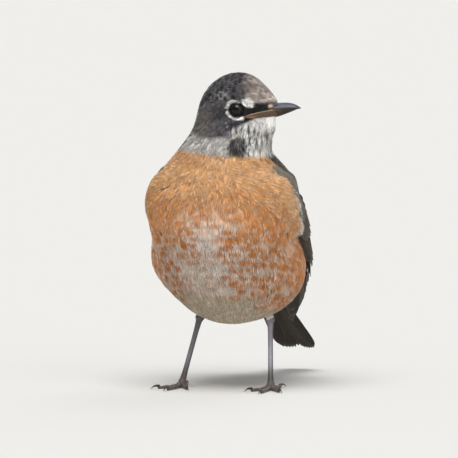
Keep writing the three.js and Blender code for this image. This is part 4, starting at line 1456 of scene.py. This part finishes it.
def wing(name, side):
    """All rows of one wing, from the lowest layer out, as pieces by the names of their rows."""
    made = {}

    def feathers(title, ends, half, colours, slot, **shape):
        made[title] = vanes(
            f"{title}_{name}", wing_place(side), *pairs(*ends), half, colours, slot, **shape
        )

    def covert_row(title, count, start, end, low, high, half, lift, pale=0.7, light=0.0, slant=0.0):
        roots_at = row(count, *start) + chance.normal(0, 0.004, count)
        tips_at = row(count, *end) + chance.normal(0, 0.006, count)
        above = row(count, low, high)
        wander = chance.normal(0, 0.4, count)
        shown = tips_at > side_breast_edge(above) + 0.01
        roots_at, tips_at, above, wander = (each[shown] for each in (roots_at, tips_at, above, wander))
        levels = pad_level(roots_at, above) - 0.9, pad_level(np.minimum(tips_at, 0.5), above) + lift
        feathers(
            title, (roots_at, above + slant, tips_at, above + wander, *levels), half,
            covert_colours(pale, light), "covert_feathers",
            tilt=0.2, arch=0.5, stations=11, columns=7, tip_round=0.1,
        )

    feathers(
        "inner_primaries", (0.36, row(3, -10, -9), [0.84, 0.9, 0.95], row(3, -11, -7.5), -0.8, -0.8),
        5.5, flight_colours(0.2), "flight_feathers", arch=0.3, stations=20,
    )
    tips = [0.945, 0.985, 1.0, 0.97, 0.93, 0.885, 0.84, 0.80]
    n = len(tips)
    feathers(
        "primaries", (0.36, row(n, -7.5, -1), tips, row(n, -4.2, 2.2), row(n, -0.6, 1.5), row(n, -1.6, 1.5)),
        3.5, flight_colours(0.5), "flight_feathers",
        tilt=row(n, 1.3, 0.2), arch=0.3, shaft=-0.35, tip_round=0.035, stations=20,
    )
    n = np.arange(7)
    feathers(
        "secondaries",
        (0.36, row(7, -5, 9), row(7, 0.71, 0.755, 0.6), row(7, -2.5, 7), 2.3 + 0.1 * n, 2.0 + 0.12 * n),
        3.9, flight_colours(0.8), "flight_feathers", tilt=0.16, arch=0.35, shaft=-0.25, stations=18,
    )
    n = np.arange(4)
    feathers(
        "tertials",
        (0.34, row(4, 7, 19), [0.775, 0.74, 0.69, 0.62], row(4, 6, 13.5), 3.7 + 0.15 * n, 3.3 + 0.2 * n),
        5.0, flight_colours(0.9, 0.6), "flight_feathers", tilt=0.15, arch=0.5, shaft=-0.1, stations=18,
    )
    covert_row("primary_coverts", 5, (0.30, 0.36), (0.50, 0.58), -7.5, -2.5, 2.4, -0.6, 0.5)
    covert_row("greater_coverts", 9, (0.27, 0.30), (0.56, 0.60), -5.5, 14, 3.0, -0.25, 0.75, 0.0, 1.5)
    covert_row("median_coverts", 9, (0.17, 0.19), (0.36, 0.42), -6.0, 15.5, 2.7, 0.0, 0.6, 0.15, 1)
    covert_row("lesser_coverts_c", 9, (0.10, 0.13), (0.26, 0.31), -6.0, 15.5, 2.4, 0.1, 0.5, 0.4)
    covert_row("lesser_coverts_b", 8, (0.04, 0.06), (0.17, 0.22), -5.2, 13.0, 2.2, 0.1, 0.6, 0.6)
    return made


# %% The arm, and both wings
def arm_pad(name, side):
    """The dark bed under the coverts: a closed pad, its outer side 0.9 mm under the arm's level."""
    share, across = np.meshgrid(np.linspace(0.0, 0.525, 24), np.linspace(0.02, 0.98, 18), indexing="ij")
    low, top = arm_edges(share)
    above = low + (top - low) * across
    levels = np.maximum(pad_level(share, above) - 0.9, 0.3), 0.1
    points = np.concatenate([wing_place(side)(share, above, level).reshape(-1, 3) for level in levels])
    faces = outward(points, plate_faces(*share.shape))
    colours = np.tile(VANE_BROWN * 0.7, (len(points), 1))
    piece = new_piece(f"arm_{name}", points, faces, down, colours)
    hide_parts(f"wing_{name}_coverts")


for name, side in SIDES:
    arm_pad(name, side)
    wing_rows = wing(name, side)
    for kind in ("primaries", "secondaries", "tertials"):
        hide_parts(f"wing_{name}_{kind}")

# %% [markdown]
# ## The tail
# Twelve tail feathers lie almost closed: five on each side under a middle pair, the outermost lowest.
# Each is broad, so most of it is hidden. From in front only the undersides show, brown with paler
# edges and tips. They use the same vanes as the wing, on the tail's own plane.

# %% Tail feathers
TAIL_ROOT = np.array([0.0, 32.0, 62.0])
TAIL_TIP = np.array([4.2, 102.5, 11.2])


def tail_place(reached, aside, level):
    """A point reached on the way from the tail's root to its tip, aside from its middle, sagging aside."""
    reached, aside, level = np.broadcast_arrays(reached, aside, level)
    spot = TAIL_ROOT + reached[..., None] * (TAIL_TIP - TAIL_ROOT)
    narrow = 0.45 + 0.55 * np.clip(reached, 0, 1) ** 0.8
    return spot + np.stack([aside * narrow, 0 * aside, level - 0.012 * aside**2], axis=-1)


def tail_colours(c, t, number):
    """Brown vanes with paler rims at edge and tip."""
    lift = chance.uniform(0.92, 1.08, len(number))[:, None, None, None]
    body = blend(TAIL_MIDDLE, TAIL_DARK, ease(-0.5, 0.6, c))
    edge = np.maximum(0.55 * ease(0.8, 0.97, np.abs(c)), 0.65 * ease(0.955, 0.99, t))
    return blend(body, TAIL_EDGE, edge) * lift


RECTRIX = {"arch": 0.12, "thick": 0.16, "tip_round": 0.03, "stations": 20}
TAIL_ENDS = [0.985, 1.0, 1.01, 1.015, 1.015]
for name, side in SIDES:
    n = len(TAIL_ENDS)
    middle = side * row(n, 7.9, 2.4)
    step = 0.35 + (0.13 if side > 0 else 0.17) * np.arange(n)
    rectrices = vanes(
        f"tail_feathers_{name}", tail_place, *pairs(0.06, middle * 0.8, TAIL_ENDS, middle, step, step),
        row(n, 3.9, 3.0), tail_colours, "flight_feathers", shaft=0.2 * side, **RECTRIX,
    )
    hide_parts(f"tail_{name}")
rectrices = vanes(
    "tail_feathers_middle", tail_place,
    *pairs(0.05, [1.7, -1.7], 1.02, [0.9, -0.9], [1.55, 1.72], [1.7, 1.87]),
    3.1, tail_colours, "flight_feathers", **RECTRIX,
)
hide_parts("tail_middle")

# %% [markdown]
# ## Eyes
# A thrush's eye is almost all dark: a deep brown iris round a wide pupil under a clear, wet cornea. A bare
# ball would do from afar, but the cornea's slight bulge is what catches the sky. Rings of points
# run from the front of the eye to its back, their distance from the centre swelling under the cornea.
# The lids are a soft dark rim that lies against the ball, a little pointed fore and aft.

# %% Eyeballs and lids
eye_material, eye_shader, eye_colour = coloured_material("eye", 0.04, specular=0.3)
link(eye_material, eye_colour.outputs["Color"], eye_shader.inputs["Base Color"])
lid_material = grained_material("eyelid", 0.55, 4000.0, 0.8, 1.2, 0.00005)
VISIBLE_EYE = 3.15
PUPIL, IRIS, LID = srgb(5, 4, 4), srgb(24, 15, 11), srgb(17, 15, 15)


def eyeball(name, side):
    """Radius 4.35 mm, swelling under the cornea by 0.22 * (1 - (angle / 40 degrees)^2)."""
    rings, around = 34, 40
    angle = np.radians(np.linspace(3, 177, rings))[:, None]
    turn = np.linspace(0, 2 * math.pi, around, endpoint=False)[None]
    swell = 0.22 * np.clip(1 - (angle / math.radians(40)) ** 2, 0, 1)
    radius = EYE_RADIUS + swell - 0.05
    ring_points = on_head(
        side * (EYE_SIDE + radius * np.cos(angle) + 0 * turn),
        EYE_FORWARD + radius * np.sin(angle) * np.cos(turn),
        EYE_UP + radius * np.sin(angle) * np.sin(turn),
    )
    front = on_head(side * (EYE_SIDE + EYE_RADIUS + 0.17), EYE_FORWARD, EYE_UP)
    back = on_head(side * (EYE_SIDE - EYE_RADIUS + 0.05), EYE_FORWARD, EYE_UP)
    points = np.concatenate([[front], ring_points.reshape(-1, 3), [back]])
    faces = outward(points, polar_faces(rings, around))
    spread = np.degrees(np.concatenate([[0], np.repeat(angle.ravel(), around), [180]]))
    colours = blend(PUPIL, IRIS, ease(23, 27, spread) * (1 - ease(38, 44, spread)))
    piece = new_piece(f"eyeball_{name}", points, faces, eye_material, colours)
    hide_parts(f"eye_{name}")


def ring_tube(centres, outs, radius, around=10):
    """Points and faces of a closed ring of round section along centres; outs point off the face."""
    turn = np.linspace(0, 2 * math.pi, around, endpoint=False)
    tangent = unit(np.roll(centres, -1, axis=0) - np.roll(centres, 1, axis=0))
    beside = unit(np.cross(tangent, outs))
    over = np.cross(beside, tangent)
    points = centres[:, None] + radius[:, None, None] * (
        beside[:, None] * np.cos(turn)[None, :, None] + over[:, None] * np.sin(turn)[None, :, None]
    )
    index = np.arange(len(centres) * around).reshape(-1, around)
    ahead = np.roll(index, -1, axis=0)
    faces = [index, np.roll(index, -1, axis=1), np.roll(ahead, -1, axis=1), ahead]
    points = points.reshape(-1, 3)
    return points, outward(points, np.stack(faces, axis=-1).reshape(-1, 4))


def lids(name, side):
    """Rim of the eye: radius 3.15 mm, drawn out to 3.4 fore and 3.25 aft, lying on the eyeball."""
    turn = np.linspace(0, 2 * math.pi, 72, endpoint=False)
    corner = 0.25 * np.clip(np.cos(turn - 0.15), 0, 1) ** 6 + 0.1 * np.clip(-np.cos(turn), 0, 1) ** 6
    radius = VISIBLE_EYE + corner
    lateral = EYE_SIDE + np.sqrt(EYE_RADIUS**2 - np.minimum(radius, 4.2) ** 2) + 0.25
    centres = on_head(
        side * lateral, EYE_FORWARD + radius * np.cos(turn), EYE_UP + radius * np.sin(turn)
    )
    outs = np.tile(LEFT * side, (len(turn), 1))
    thick = 0.22 + 0.03 * np.sin(turn * 17)
    points, faces = ring_tube(centres, outs, thick)
    colours = np.tile(LID, (len(points), 1))
    new_piece(f"eyelids_{name}", points, faces, lid_material, colours)


for name, side in SIDES:
    eyeball(name, side)
    lids(name, side)
print("each eye shows, mm:", 2 * VISIBLE_EYE)

# %% [markdown]
# ## The bill
# Horn over bone: a blue-grey upper half with a gently arched ridge and a dark tip, and a horn-brown lower
# half with a yellowish edge at its base and a dusky point. Each half is a stack of cross-sections. Their
# half width, ridge, mouth edge and keel are simple curves of the distance forward. A nostril is
# pressed into each side near the forehead, and fine lines along the horn catch the light.

# %% Upper and lower bill
BILL_BASE = 18.5
BILL_TIP = 31.5
horn = grained_material("horn", 0.38, 1600.0, 0.86, 1.12, 0.00008, (0.3, 1.2, 1.2), specular=0.45)
UPPER_GREY, UPPER_SLATE, UPPER_POINT = srgb(88, 91, 108), srgb(62, 64, 78), srgb(44, 40, 42)
UPPER_EDGE, NOSTRIL = srgb(120, 102, 70), srgb(24, 20, 20)
LOWER_TAN, LOWER_BROWN, LOWER_POINT = srgb(98, 78, 52), srgb(64, 50, 38), srgb(40, 35, 33)
LOWER_EDGE = srgb(150, 132, 96)


def bill_profile(forward):
    """Half width, ridge, mouth edge and keel: powers of the share of the way from feathers to tip."""
    t = np.clip((forward - BILL_BASE) / (BILL_TIP - BILL_BASE), -1.1, 1)
    out = np.maximum(t, 0)
    back = np.minimum(t, 0)
    half = 3.1 * np.sqrt(1 - out**1.9) - 2.2 * back + 0.15
    ridge = 0.8 - 0.5 * out - 3.1 * out**4.2
    edge = -2.1 - 0.8 * out**3 - 2.3 * back**2
    keel = -6.2 + 3.6 * out**1.2 + 0.6 * back
    return half, ridge, edge, keel


def bill_half(kind, start, end):
    """Sections of a flattened arch from mouth edge to crest; a second, flat line of points closes them."""
    upper = kind == "upper"
    forward = (start + (end - start) * (1 - (1 - np.linspace(0, 1, 44)) ** 1.6))[:, None]
    half, ridge, edge, keel = bill_profile(forward)
    turn = np.linspace(0, math.pi, 25)[None]
    across = -np.cos(turn)
    rise = np.sin(turn) ** (1.05 if upper else 0.85)
    brim = edge + (0.1 if upper else -0.1)
    crest = ridge if upper else keel
    wide = half * (1.0 if upper else 0.94)
    left = wide * across * (1 - 0.12 * rise)
    up_place = brim + (crest - brim) * rise
    if upper:
        hollow = np.exp(-(((forward - 19.3) / 1.5) ** 2) - ((rise - 0.62) / 0.16) ** 2)
        left = left * (1 - 0.16 * hollow)
        up_place = up_place - 0.25 * np.clip(1 - rise * 6, 0, 1) * ease(20, 24, forward)
    forward = forward + 0 * left
    arch = on_head(left, forward, up_place)
    inner = on_head(left[:, ::-1] * 0.9, forward, brim + 0.0 * left + (0.25 if upper else -0.25))
    points, faces = closed_rings(np.concatenate([arch, inner[:, 1:-1]], axis=1))
    _, f, u = in_head(points).T
    above_edge = u - bill_profile(f)[2]
    if upper:
        colours = blend(UPPER_GREY, UPPER_SLATE, ease(19, 27, f))
        colours = blend(colours, UPPER_POINT, ease(27.5, 31, f))
        rim = ease(0.9, 0.2, above_edge) * (1 - ease(23, 28, f))
        colours = blend(colours, UPPER_EDGE, 0.5 * rim)
        hole = np.exp(-(((f - 19.2) / 1.1) ** 2) - ((u + 0.35) / 0.5) ** 2)
        colours = blend(colours, NOSTRIL, np.clip(1.3 * hole, 0, 1))
    else:
        rim = ease(-0.9, -0.35, above_edge)
        colours = blend(LOWER_TAN, LOWER_BROWN, ease(14, 19, f))
        colours = blend(colours, LOWER_EDGE, 0.6 * rim * ease(25, 17, f))
        colours = blend(colours, LOWER_POINT, ease(20.5, 25, f) * (1 - 0.5 * rim))
    piece = new_piece(f"{kind}_bill", points, faces, horn, colours)
    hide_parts(f"bill_{kind}")


bill_half("upper", 9.0, BILL_TIP)
bill_half("lower", 6.0, BILL_TIP - 0.9)
print("the bill is, mm: long", BILL_TIP - BILL_BASE, "and wide", 2 * bill_profile(BILL_BASE)[0])


# %% The corners of the mouth
GAPE_BACK, GAPE_FRONT = 4.9, 19.5
GAPE_YELLOW, GAPE_BROWN, GAPE_CORNER = srgb(156, 140, 102), srgb(80, 62, 44), srgb(176, 116, 68)


def face_side(forward, up, side):
    """How far out the face or the bill lies at a place seen from the side, in mm from the middle."""
    forward, up = np.broadcast_arrays(forward, up)
    origin = on_head(0.0, forward, up)
    face = reach(origin, LEFT * side, 0.0, BODY, far=25.0, step=1.5)
    return np.where(form(origin)[0] < 0, face, 0.0)


def gape(name, side):
    """Soft yellow skin from the corner of the mouth to the bill: a strip on the face, sinking at its rim."""
    run, across = np.meshgrid(np.linspace(0, 1, 40), np.linspace(-1, 1, 15), indexing="ij")
    forward = GAPE_BACK + (GAPE_FRONT - GAPE_BACK) * run
    upper_line = np.interp(forward, [GAPE_BACK, 8, 12, 16, GAPE_FRONT], [-4.4, -3.3, -2.5, -2.05, -1.9])
    lower_line = np.interp(forward, [GAPE_BACK, 7, 10, 14, GAPE_FRONT], [-4.9, -5.5, -6.0, -6.0, -5.8])
    middle, half = (upper_line + lower_line) / 2, (upper_line - lower_line) / 2
    up = middle + half * across
    horn_side = bill_profile(forward)[0] * (1 - 0.25 * ((1 - across) / 2) ** 2)
    lateral = np.maximum(face_side(forward, up, side), horn_side)
    lateral = lateral + 0.25 - 1.1 * np.abs(across) ** 6
    lateral = lateral - 0.9 * ease(0.88, 1, run) - 0.6 * ease(0.05, 0, run)
    lateral = lateral - 0.3 * np.exp(-(((across - 0.45) / 0.12) ** 2)) * ease(0.05, 0.2, run)
    plate = [on_head(side * out, forward, up).reshape(-1, 3) for out in (lateral, lateral - 0.9)]
    points = np.concatenate(plate)
    faces = outward(points, plate_faces(*run.shape))
    colours = blend(GAPE_YELLOW, GAPE_BROWN, ease(0.8, 0.5, across))
    corner = np.exp(-(((forward - 8.4) / 2.0) ** 2) - ((across + 0.5) / 0.4) ** 2)
    colours = blend(colours, GAPE_CORNER, 0.8 * corner)
    colours = np.concatenate([colours.reshape(-1, 3)] * 2)
    new_piece(f"gape_{name}", points, faces, horn, colours)


for name, side in SIDES:
    gape(name, side)
print("each gape runs back over, mm:", GAPE_FRONT - GAPE_BACK)

# %% [markdown]
# ## Thighs
# Above the heel the leg is feathered: a short cone of white and cream plumes from the flank down to a
# cuff over the joint. The skin beneath is a sleeve along a straight line, its radius easing from wide
# to narrow. The plumes leave it in rings, point down the leg and overhang the heel a little.

# %% Joints of the leg, and rings along a line
HEEL_SIDE = {"left": 19.8, "right": 17.4}
HEEL_BACK = 6.0
HEEL_HEIGHT = 34.0
FOOT_SIDE = 23.2
FOOT_BACK = -4.0
FOOT_HEIGHT = 3.0


def heel(name, side):
    """The heel joint of one leg."""
    return np.array([side * HEEL_SIDE[name], HEEL_BACK, HEEL_HEIGHT])


def foot_joint(side):
    """Where the toes spring from."""
    return np.array([side * FOOT_SIDE, FOOT_BACK, FOOT_HEIGHT])


def ring_angles(sides):
    """Angles of the corners of a ring, half a step off its axes."""
    return (np.arange(sides) + 0.5) / sides * 2 * math.pi


def sleeve(centres, radii, sides, steady=(0.0, 1.0, 0.0), flatten=1.0):
    """Rings of points round a line: radius * (cos across + flatten * sin over), square to the line."""
    tangent = unit(np.gradient(centres, axis=0))
    across = unit(np.cross(np.asarray(steady, float), tangent))
    over = np.cross(tangent, across)
    turn = ring_angles(sides)
    radii = radii[:, None] if np.ndim(radii) == 1 else radii
    return centres[:, None] + radii[..., None] * (
        across[:, None] * np.cos(turn)[None, :, None] + flatten * over[:, None] * np.sin(turn)[None, :, None]
    )


for name, side in SIDES:
    print(f"{name} tarsus, mm:", np.linalg.norm(heel(name, side) - foot_joint(side)).round(1))


# %% Thighs and their cuffs
THIGH_RADIUS, SHIN_RADIUS, CUFF_RADIUS = 6.0, 1.3, 1.25
PLUMES, BLADES_EACH, BLADE_POINTS = 300, 9, 5
LAST_PLUME = {"left": 0.84, "right": 0.64}


def thigh(name, side):
    """The feathered shin, from hidden knee to heel."""
    knee, joint = np.array([side * 17.0, 0.0, 52.0]), heel(name, side)
    t = np.linspace(0, 1.04, 14)
    radii = THIGH_RADIUS + (SHIN_RADIUS - THIGH_RADIUS) * ease(0, 0.95, t)
    points, faces = closed_rings(sleeve(knee + t[:, None] * (joint - knee), radii, 20))
    colours = np.tile(CREAM * 0.7, (len(points), 1))
    piece = new_piece(f"shin_skin_{name}", points, faces, down, colours)
    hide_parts(f"thigh_{name}")
    along_blade = np.linspace(0, 1, BLADE_POINTS)
    each_blade = (PLUMES, BLADES_EACH, 1)
    begin = chance.uniform(0.05, LAST_PLUME[name], PLUMES)
    turn = chance.uniform(0, 2 * math.pi, PLUMES)
    length = (0.22 + 0.1 * chance.random(PLUMES)) * (1 - 0.35 * begin)
    along = begin[:, None, None] + length[:, None, None] * along_blade
    spin = turn[:, None, None] + chance.normal(0, 0.14, each_blade) + 0.05 * along_blade
    axis = unit(joint - knee)
    across = unit(np.cross([0.0, 1.0, 0.0], axis))
    over = np.cross(axis, across)
    radial = across * np.cos(spin)[..., None] + over * np.sin(spin)[..., None]
    width = THIGH_RADIUS + (CUFF_RADIUS - THIGH_RADIUS) * ease(0, 0.9, along)
    t = np.broadcast_to(along_blade, spin.shape)
    stand = width + 0.15 + 0.45 * np.sin(math.pi * t * 0.75) + chance.normal(0, 0.08, each_blade)
    spine = knee + along[..., None] * (joint - knee) + radial * stand[..., None]
    mood = chance.random(each_blade)
    colour = blend(WHITE, CREAM, mood) * np.ones(t.shape + (1,)) * (0.9 + 0.14 * mood[..., None])
    sheet = sheet_place(spine[:, BLADES_EACH // 2, 0])[:, None, None]
    spread = 2 * np.arange(BLADES_EACH)[None, :, None] / (BLADES_EACH - 1) - 1
    sheet = sheet + np.stack([0 * spin + spread, 2 * t - 1], axis=-1) * ON_SHEET
    thick = np.full((PLUMES, BLADES_EACH), 0.26)
    blade_mesh(f"shin_plumes_{name}", spine, radial, thick, colour, sheet)


print("plumes on each shin:", PLUMES, "of", BLADES_EACH, "blades")

# %% [markdown]
# ## Legs and feet
# A robin's tarsus is nearly smooth in front, a single horny sheath with faint joins, and keeled behind.
# The toes are scaled above in short plates and padded below. Rings along a line do for all of them:
# the radius swells at each knuckle, small steps on the upper half make the plates, and the
# sole is pressed flat where it meets the floor. Claws arch from a thick root to a point on the ground.

# %% The scaled shanks
scale_skin = grained_material("leg_scales", 0.42, 1400.0, 0.8, 1.18, 0.00012, specular=0.5)
claw_horn = grained_material("claw_horn", 0.3, 1500.0, 0.85, 1.15, 0.00005, specular=0.5)
TARSUS_RADIUS = 1.25
# A dark shank colour, and a pale lilac-grey painted highlight for the shanks' fronts, stronger on the left
# leg than the right.
LEG_DARK, LEG_HIGHLIGHT = srgb(70, 64, 66), srgb(176, 170, 182)
LEG_GLEAM = {"left": 0.85, "right": 0.35}


def tarsus(name, side):
    """From heel to toes: radius 1.25 * (1 + 0.4 (2t - 1)^4), keeled behind, with faint joins in front."""
    rings, sides = 90, 24
    t = np.linspace(-0.045, 0.985, rings)
    top, bottom = heel(name, side), foot_joint(side)
    centres = top + t[:, None] * (bottom - top)
    turn = ring_angles(sides)
    radius = TARSUS_RADIUS * (1 + 0.4 * np.abs(2 * t - 1) ** 4)
    knob = 0.55 * np.exp(-(((t + 0.005) / 0.03) ** 2))
    front = np.clip(-np.cos(turn), 0, 1)
    joins = 0.035 * np.clip(np.sin(t * 2 * math.pi * 7.5) * 8 - 7, 0, 1)
    keel = 0.16 * np.exp((np.cos(turn) - 1) * 8)
    radii = radius[:, None] + knob[:, None] - joins[:, None] * front[None] * 2
    radii = radii + keel[None] * radius[:, None]
    points, faces = closed_rings(sleeve(centres, radii, sides, steady=(1.0, 0.0, 0.0)))
    # Painted highlight: the front of each shank is blended towards the pale colour by its leg's gleam, fading
    # out near the foot.
    shade = np.concatenate([[0], np.tile(front, rings), [0]])
    height = points[:, 2]
    colours = blend(LEG_DARK, LEG_HIGHLIGHT, LEG_GLEAM[name] * shade * ease(6, 16, height))
    # Painted shade: the top of the shank, under the overhanging cuff, is darkened.
    colours = blend(colours, LEG_DARK * 0.8, 0.6 * ease(30, 36, height))
    piece = new_piece(f"leg_{name}", points, faces, scale_skin, colours)
    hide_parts(f"tarsus_{name}")


print("each shank is, mm: thin", 2 * TARSUS_RADIUS)


# %% Toes, claws and feet
TOE_DARK, TOE_SEAM, TOE_PAD = srgb(92, 82, 80), LEG_DARK * 0.55, srgb(122, 108, 96)
CLAW_ROOT, CLAW_POINT, FOOT_DARK = srgb(62, 54, 50), srgb(34, 30, 28), srgb(84, 74, 72)
DIGITS = [
    # number, turn outwards in degrees, length, claw, radius
    (1, 172, 11.0, 6.5, 1.15),
    (2, -27, 13.5, 5.0, 1.1),
    (3, 4, 19.5, 5.5, 1.2),
    (4, 34, 15.0, 4.8, 1.05),
]


def merged(parts):
    """Points, faces and colours of several closed meshes as one."""
    start = np.cumsum([0] + [len(points) for points, _, _ in parts[:-1]])
    points, faces, colours = zip(*parts)
    faces = [each + first for each, first in zip(faces, start)]
    return [np.concatenate(each) for each in (points, faces, colours)]


def toe_line(side, turn, distance, height):
    """Points over a toe's line on the ground: outwards by sin(turn) and forward by cos(turn)."""
    angle = math.radians(turn)
    x = side * (FOOT_SIDE + math.sin(angle) * distance)
    y = FOOT_BACK - math.cos(angle) * distance
    return np.stack([x, y, np.broadcast_to(height, distance.shape)], axis=-1)


def toe(side, turn, length, radius):
    """One toe: radius shrinking by 0.22, swelling at each knuckle, with stepped plates on its top."""
    sides = 16
    distance = np.linspace(-0.6, length + 0.25, 80)
    along = np.clip(distance / length, 0, 1)
    knuckles = length / 5.2
    girth = radius * (1 - 0.22 * along) * (1 + 0.09 * np.cos(2 * math.pi * knuckles * along))
    girth = girth * np.sqrt(np.clip(1 - np.clip((distance - length + 0.9) / 1.16, 0, 1) ** 2, 0.02, 1))
    height = FOOT_HEIGHT + (0.8 * girth - FOOT_HEIGHT) * ease(0, 5, distance)
    steps = np.modf(np.abs(distance) / 0.85)[0]
    rings_of = sleeve(toe_line(side, turn, distance, height), girth, sides, steady=(0.0, 0.0, 1.0))
    centre = rings_of.mean(axis=1, keepdims=True)
    topside = np.clip((rings_of[..., 2:] - centre[..., 2:]) / girth[:, None, None], 0, 1)
    underside = np.clip((centre[..., 2:] - rings_of[..., 2:]) / girth[:, None, None], 0, 1)
    pads = 0.12 * np.cos(2 * math.pi * knuckles * along)[:, None, None] * underside
    rings_of = centre + (rings_of - centre) * (1 + 0.1 * (0.5 - steps)[:, None, None] * topside + pads)
    rings_of[..., 2] = np.maximum(rings_of[..., 2], 0.0)
    points, faces = closed_rings(rings_of)
    seam = np.repeat(ease(0.8, 0.97, steps), sides)[:, None] * topside.reshape(-1, 1)
    seam = np.concatenate([[0], seam.ravel(), [0]])
    pale = np.concatenate([[0], underside.ravel(), [0]])
    return points, faces, blend(blend(TOE_DARK, TOE_SEAM, seam), TOE_PAD, 0.6 * pale)


def claw(side, turn, length, reach_out):
    """One claw: an arch from the toe's end to the ground, its radius falling from 0.78 to 0.1 mm."""
    sides = 12
    t = np.linspace(0, 1, 26)
    arch = 0.3 + 1.1 * np.cos(t * math.pi / 2) ** 0.8 + 0.55 * np.sin(t * math.pi)
    centres = toe_line(side, turn, length + 0.3 + reach_out * t - 0.5 * (1 - t), arch)
    radii = 0.78 + (0.1 - 0.78) * t**0.85
    rings_of = sleeve(centres, radii, sides, steady=(0.0, 0.0, 1.0), flatten=1.15)
    rings_of[..., 2] = np.maximum(rings_of[..., 2], 0.0)
    shade = np.concatenate([[0], np.repeat(t, sides), [1]])
    return *closed_rings(rings_of), blend(CLAW_ROOT, CLAW_POINT, shade)


def foot_ball(side):
    """The round joint the toes meet in, a little broader than it is tall."""
    angle = np.linspace(0.08, math.pi - 0.08, 16)[:, None]
    turn = np.linspace(0, 2 * math.pi, 22, endpoint=False)[None]
    around = 2.0 * np.sin(angle)
    ball = np.stack([around * np.cos(turn), around * np.sin(turn), 1.85 * np.cos(angle) + 0 * turn], axis=-1)
    points, faces = closed_rings(foot_joint(side) + ball)
    return points, faces, np.tile(FOOT_DARK, (len(points), 1))


for name, side in SIDES:
    thigh(name, side)
    tarsus(name, side)
    toes = [toe(side, turn, length, radius) for _, turn, length, _, radius in DIGITS]
    points, faces, colours = merged(toes + [foot_ball(side)])
    foot = new_piece(f"toes_{name}", points, faces, scale_skin, colours)
    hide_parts(f"foot_{name}", *(f"toe_{name}_{number}" for number, *_ in DIGITS))
    points, faces, colours = merged([claw(side, turn, length, out) for _, turn, length, out, _ in DIGITS])
    claws = new_piece(f"claws_{name}", points, faces, claw_horn, colours)
    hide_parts(*(f"claw_{name}_{number}" for number, *_ in DIGITS))
    print(f"{name} foot triangles:", len(foot.data.polygons) + len(faces))

# %% [markdown]
# ## Floor, light and camera
# A pale floor, a broad soft lamp high in front, a weaker one beside it and one behind give the mild
# light of an overcast day, so that colours look as they were written. The world's light fills the rest.
# Straight at the camera, and through clear things, the world looks brighter than it shines. The camera
# stands far off with a long lens, a little to the bird's left and just above it.

# %% Camera
SCENE = bpy.context.scene
CAMERA_TURN = math.radians(18)
CAMERA_RISE = math.radians(5)
CAMERA_AWAY = 10.0
FILM_WIDTH = 36
VIEW_WIDTH = 0.229
MIDDLE_HEIGHT = 0.0795
toward = Vector(heading(CAMERA_TURN, CAMERA_RISE))
aim = Vector(placed([0, 0, 0])) + Vector((0, 0, MIDDLE_HEIGHT / math.cos(CAMERA_RISE)))
camera_data = bpy.data.cameras.new("camera")
camera_data.sensor_width = FILM_WIDTH
camera_data.lens = FILM_WIDTH * CAMERA_AWAY / VIEW_WIDTH
camera_data.clip_end = 40
camera = bpy.data.objects.new("camera", camera_data)
camera.location = aim + toward * CAMERA_AWAY
camera.rotation_euler = toward.to_track_quat("Z", "Y").to_euler()
SCENE.collection.objects.link(camera)
SCENE.camera = camera
print("the lens is", round(camera_data.lens), "mm long")


# %% Lamps, world and floor
WORLD_LIGHT, WORLD_SEEN = 0.34, 0.875
FLOOR_GREY, FLOOR_REACH = (0.61, 0.61, 0.60, 1), 20


def lamp(name, place, power, width=45, colour=(1, 1, 1)):
    """A broad far lamp that shines from a place towards the middle, as wide as so many degrees of sky."""
    data = bpy.data.lights.new(name, "SUN")
    data.angle = math.radians(width)
    data.energy = power
    data.color = colour
    made = bpy.data.objects.new(name, data)
    made.location = place
    made.rotation_euler = Vector(place).to_track_quat("Z", "Y").to_euler()
    SCENE.collection.objects.link(made)


lamp("sky_light", (0.08, -0.65, 1.3), 3.2, 45, (1.0, 0.985, 0.96))
lamp("side_light", (0.9, -0.6, 0.5), 0.6)
lamp("back_light", (0.2, 0.9, 0.8), 0.5)
SCENE.view_settings.view_transform = "Standard"

world = bpy.data.worlds.new("studio")
SCENE.world = world
world.use_nodes = True
path = node(world, "ShaderNodeLightPath")
seen = node(world, "ShaderNodeMath", operation="MAXIMUM")
strength = node(world, "ShaderNodeMapRange", To_Min=WORLD_LIGHT, To_Max=WORLD_SEEN)
background = world.node_tree.nodes["Background"]
background.inputs["Color"].default_value = (1.0, 1.0, 1.0, 1)
link(
    world,
    path.outputs["Is Camera Ray"], seen.inputs[0],
    path.outputs["Is Transmission Ray"], seen.inputs[1],
    seen.outputs[0], strength.inputs["Value"],
    strength.outputs["Result"], background.inputs["Strength"],
)

floor_mesh = bpy.data.meshes.new("floor")
floor_corners = [(x * FLOOR_REACH, y * FLOOR_REACH, 0) for x, y in ((-1, -1), (1, -1), (1, 1), (-1, 1))]
floor_mesh.from_pydata(floor_corners, [], [(0, 1, 2, 3)])
floor = bpy.data.objects.new("floor", floor_mesh)
SCENE.collection.objects.link(floor)
floor_material = bpy.data.materials.new("floor_paper")
floor_material.use_nodes = True
floor_shader = floor_material.node_tree.nodes["Principled BSDF"]
floor_shader.inputs["Base Color"].default_value = FLOOR_GREY
floor_shader.inputs["Roughness"].default_value = 0.9
floor_mesh.materials.append(floor_material)
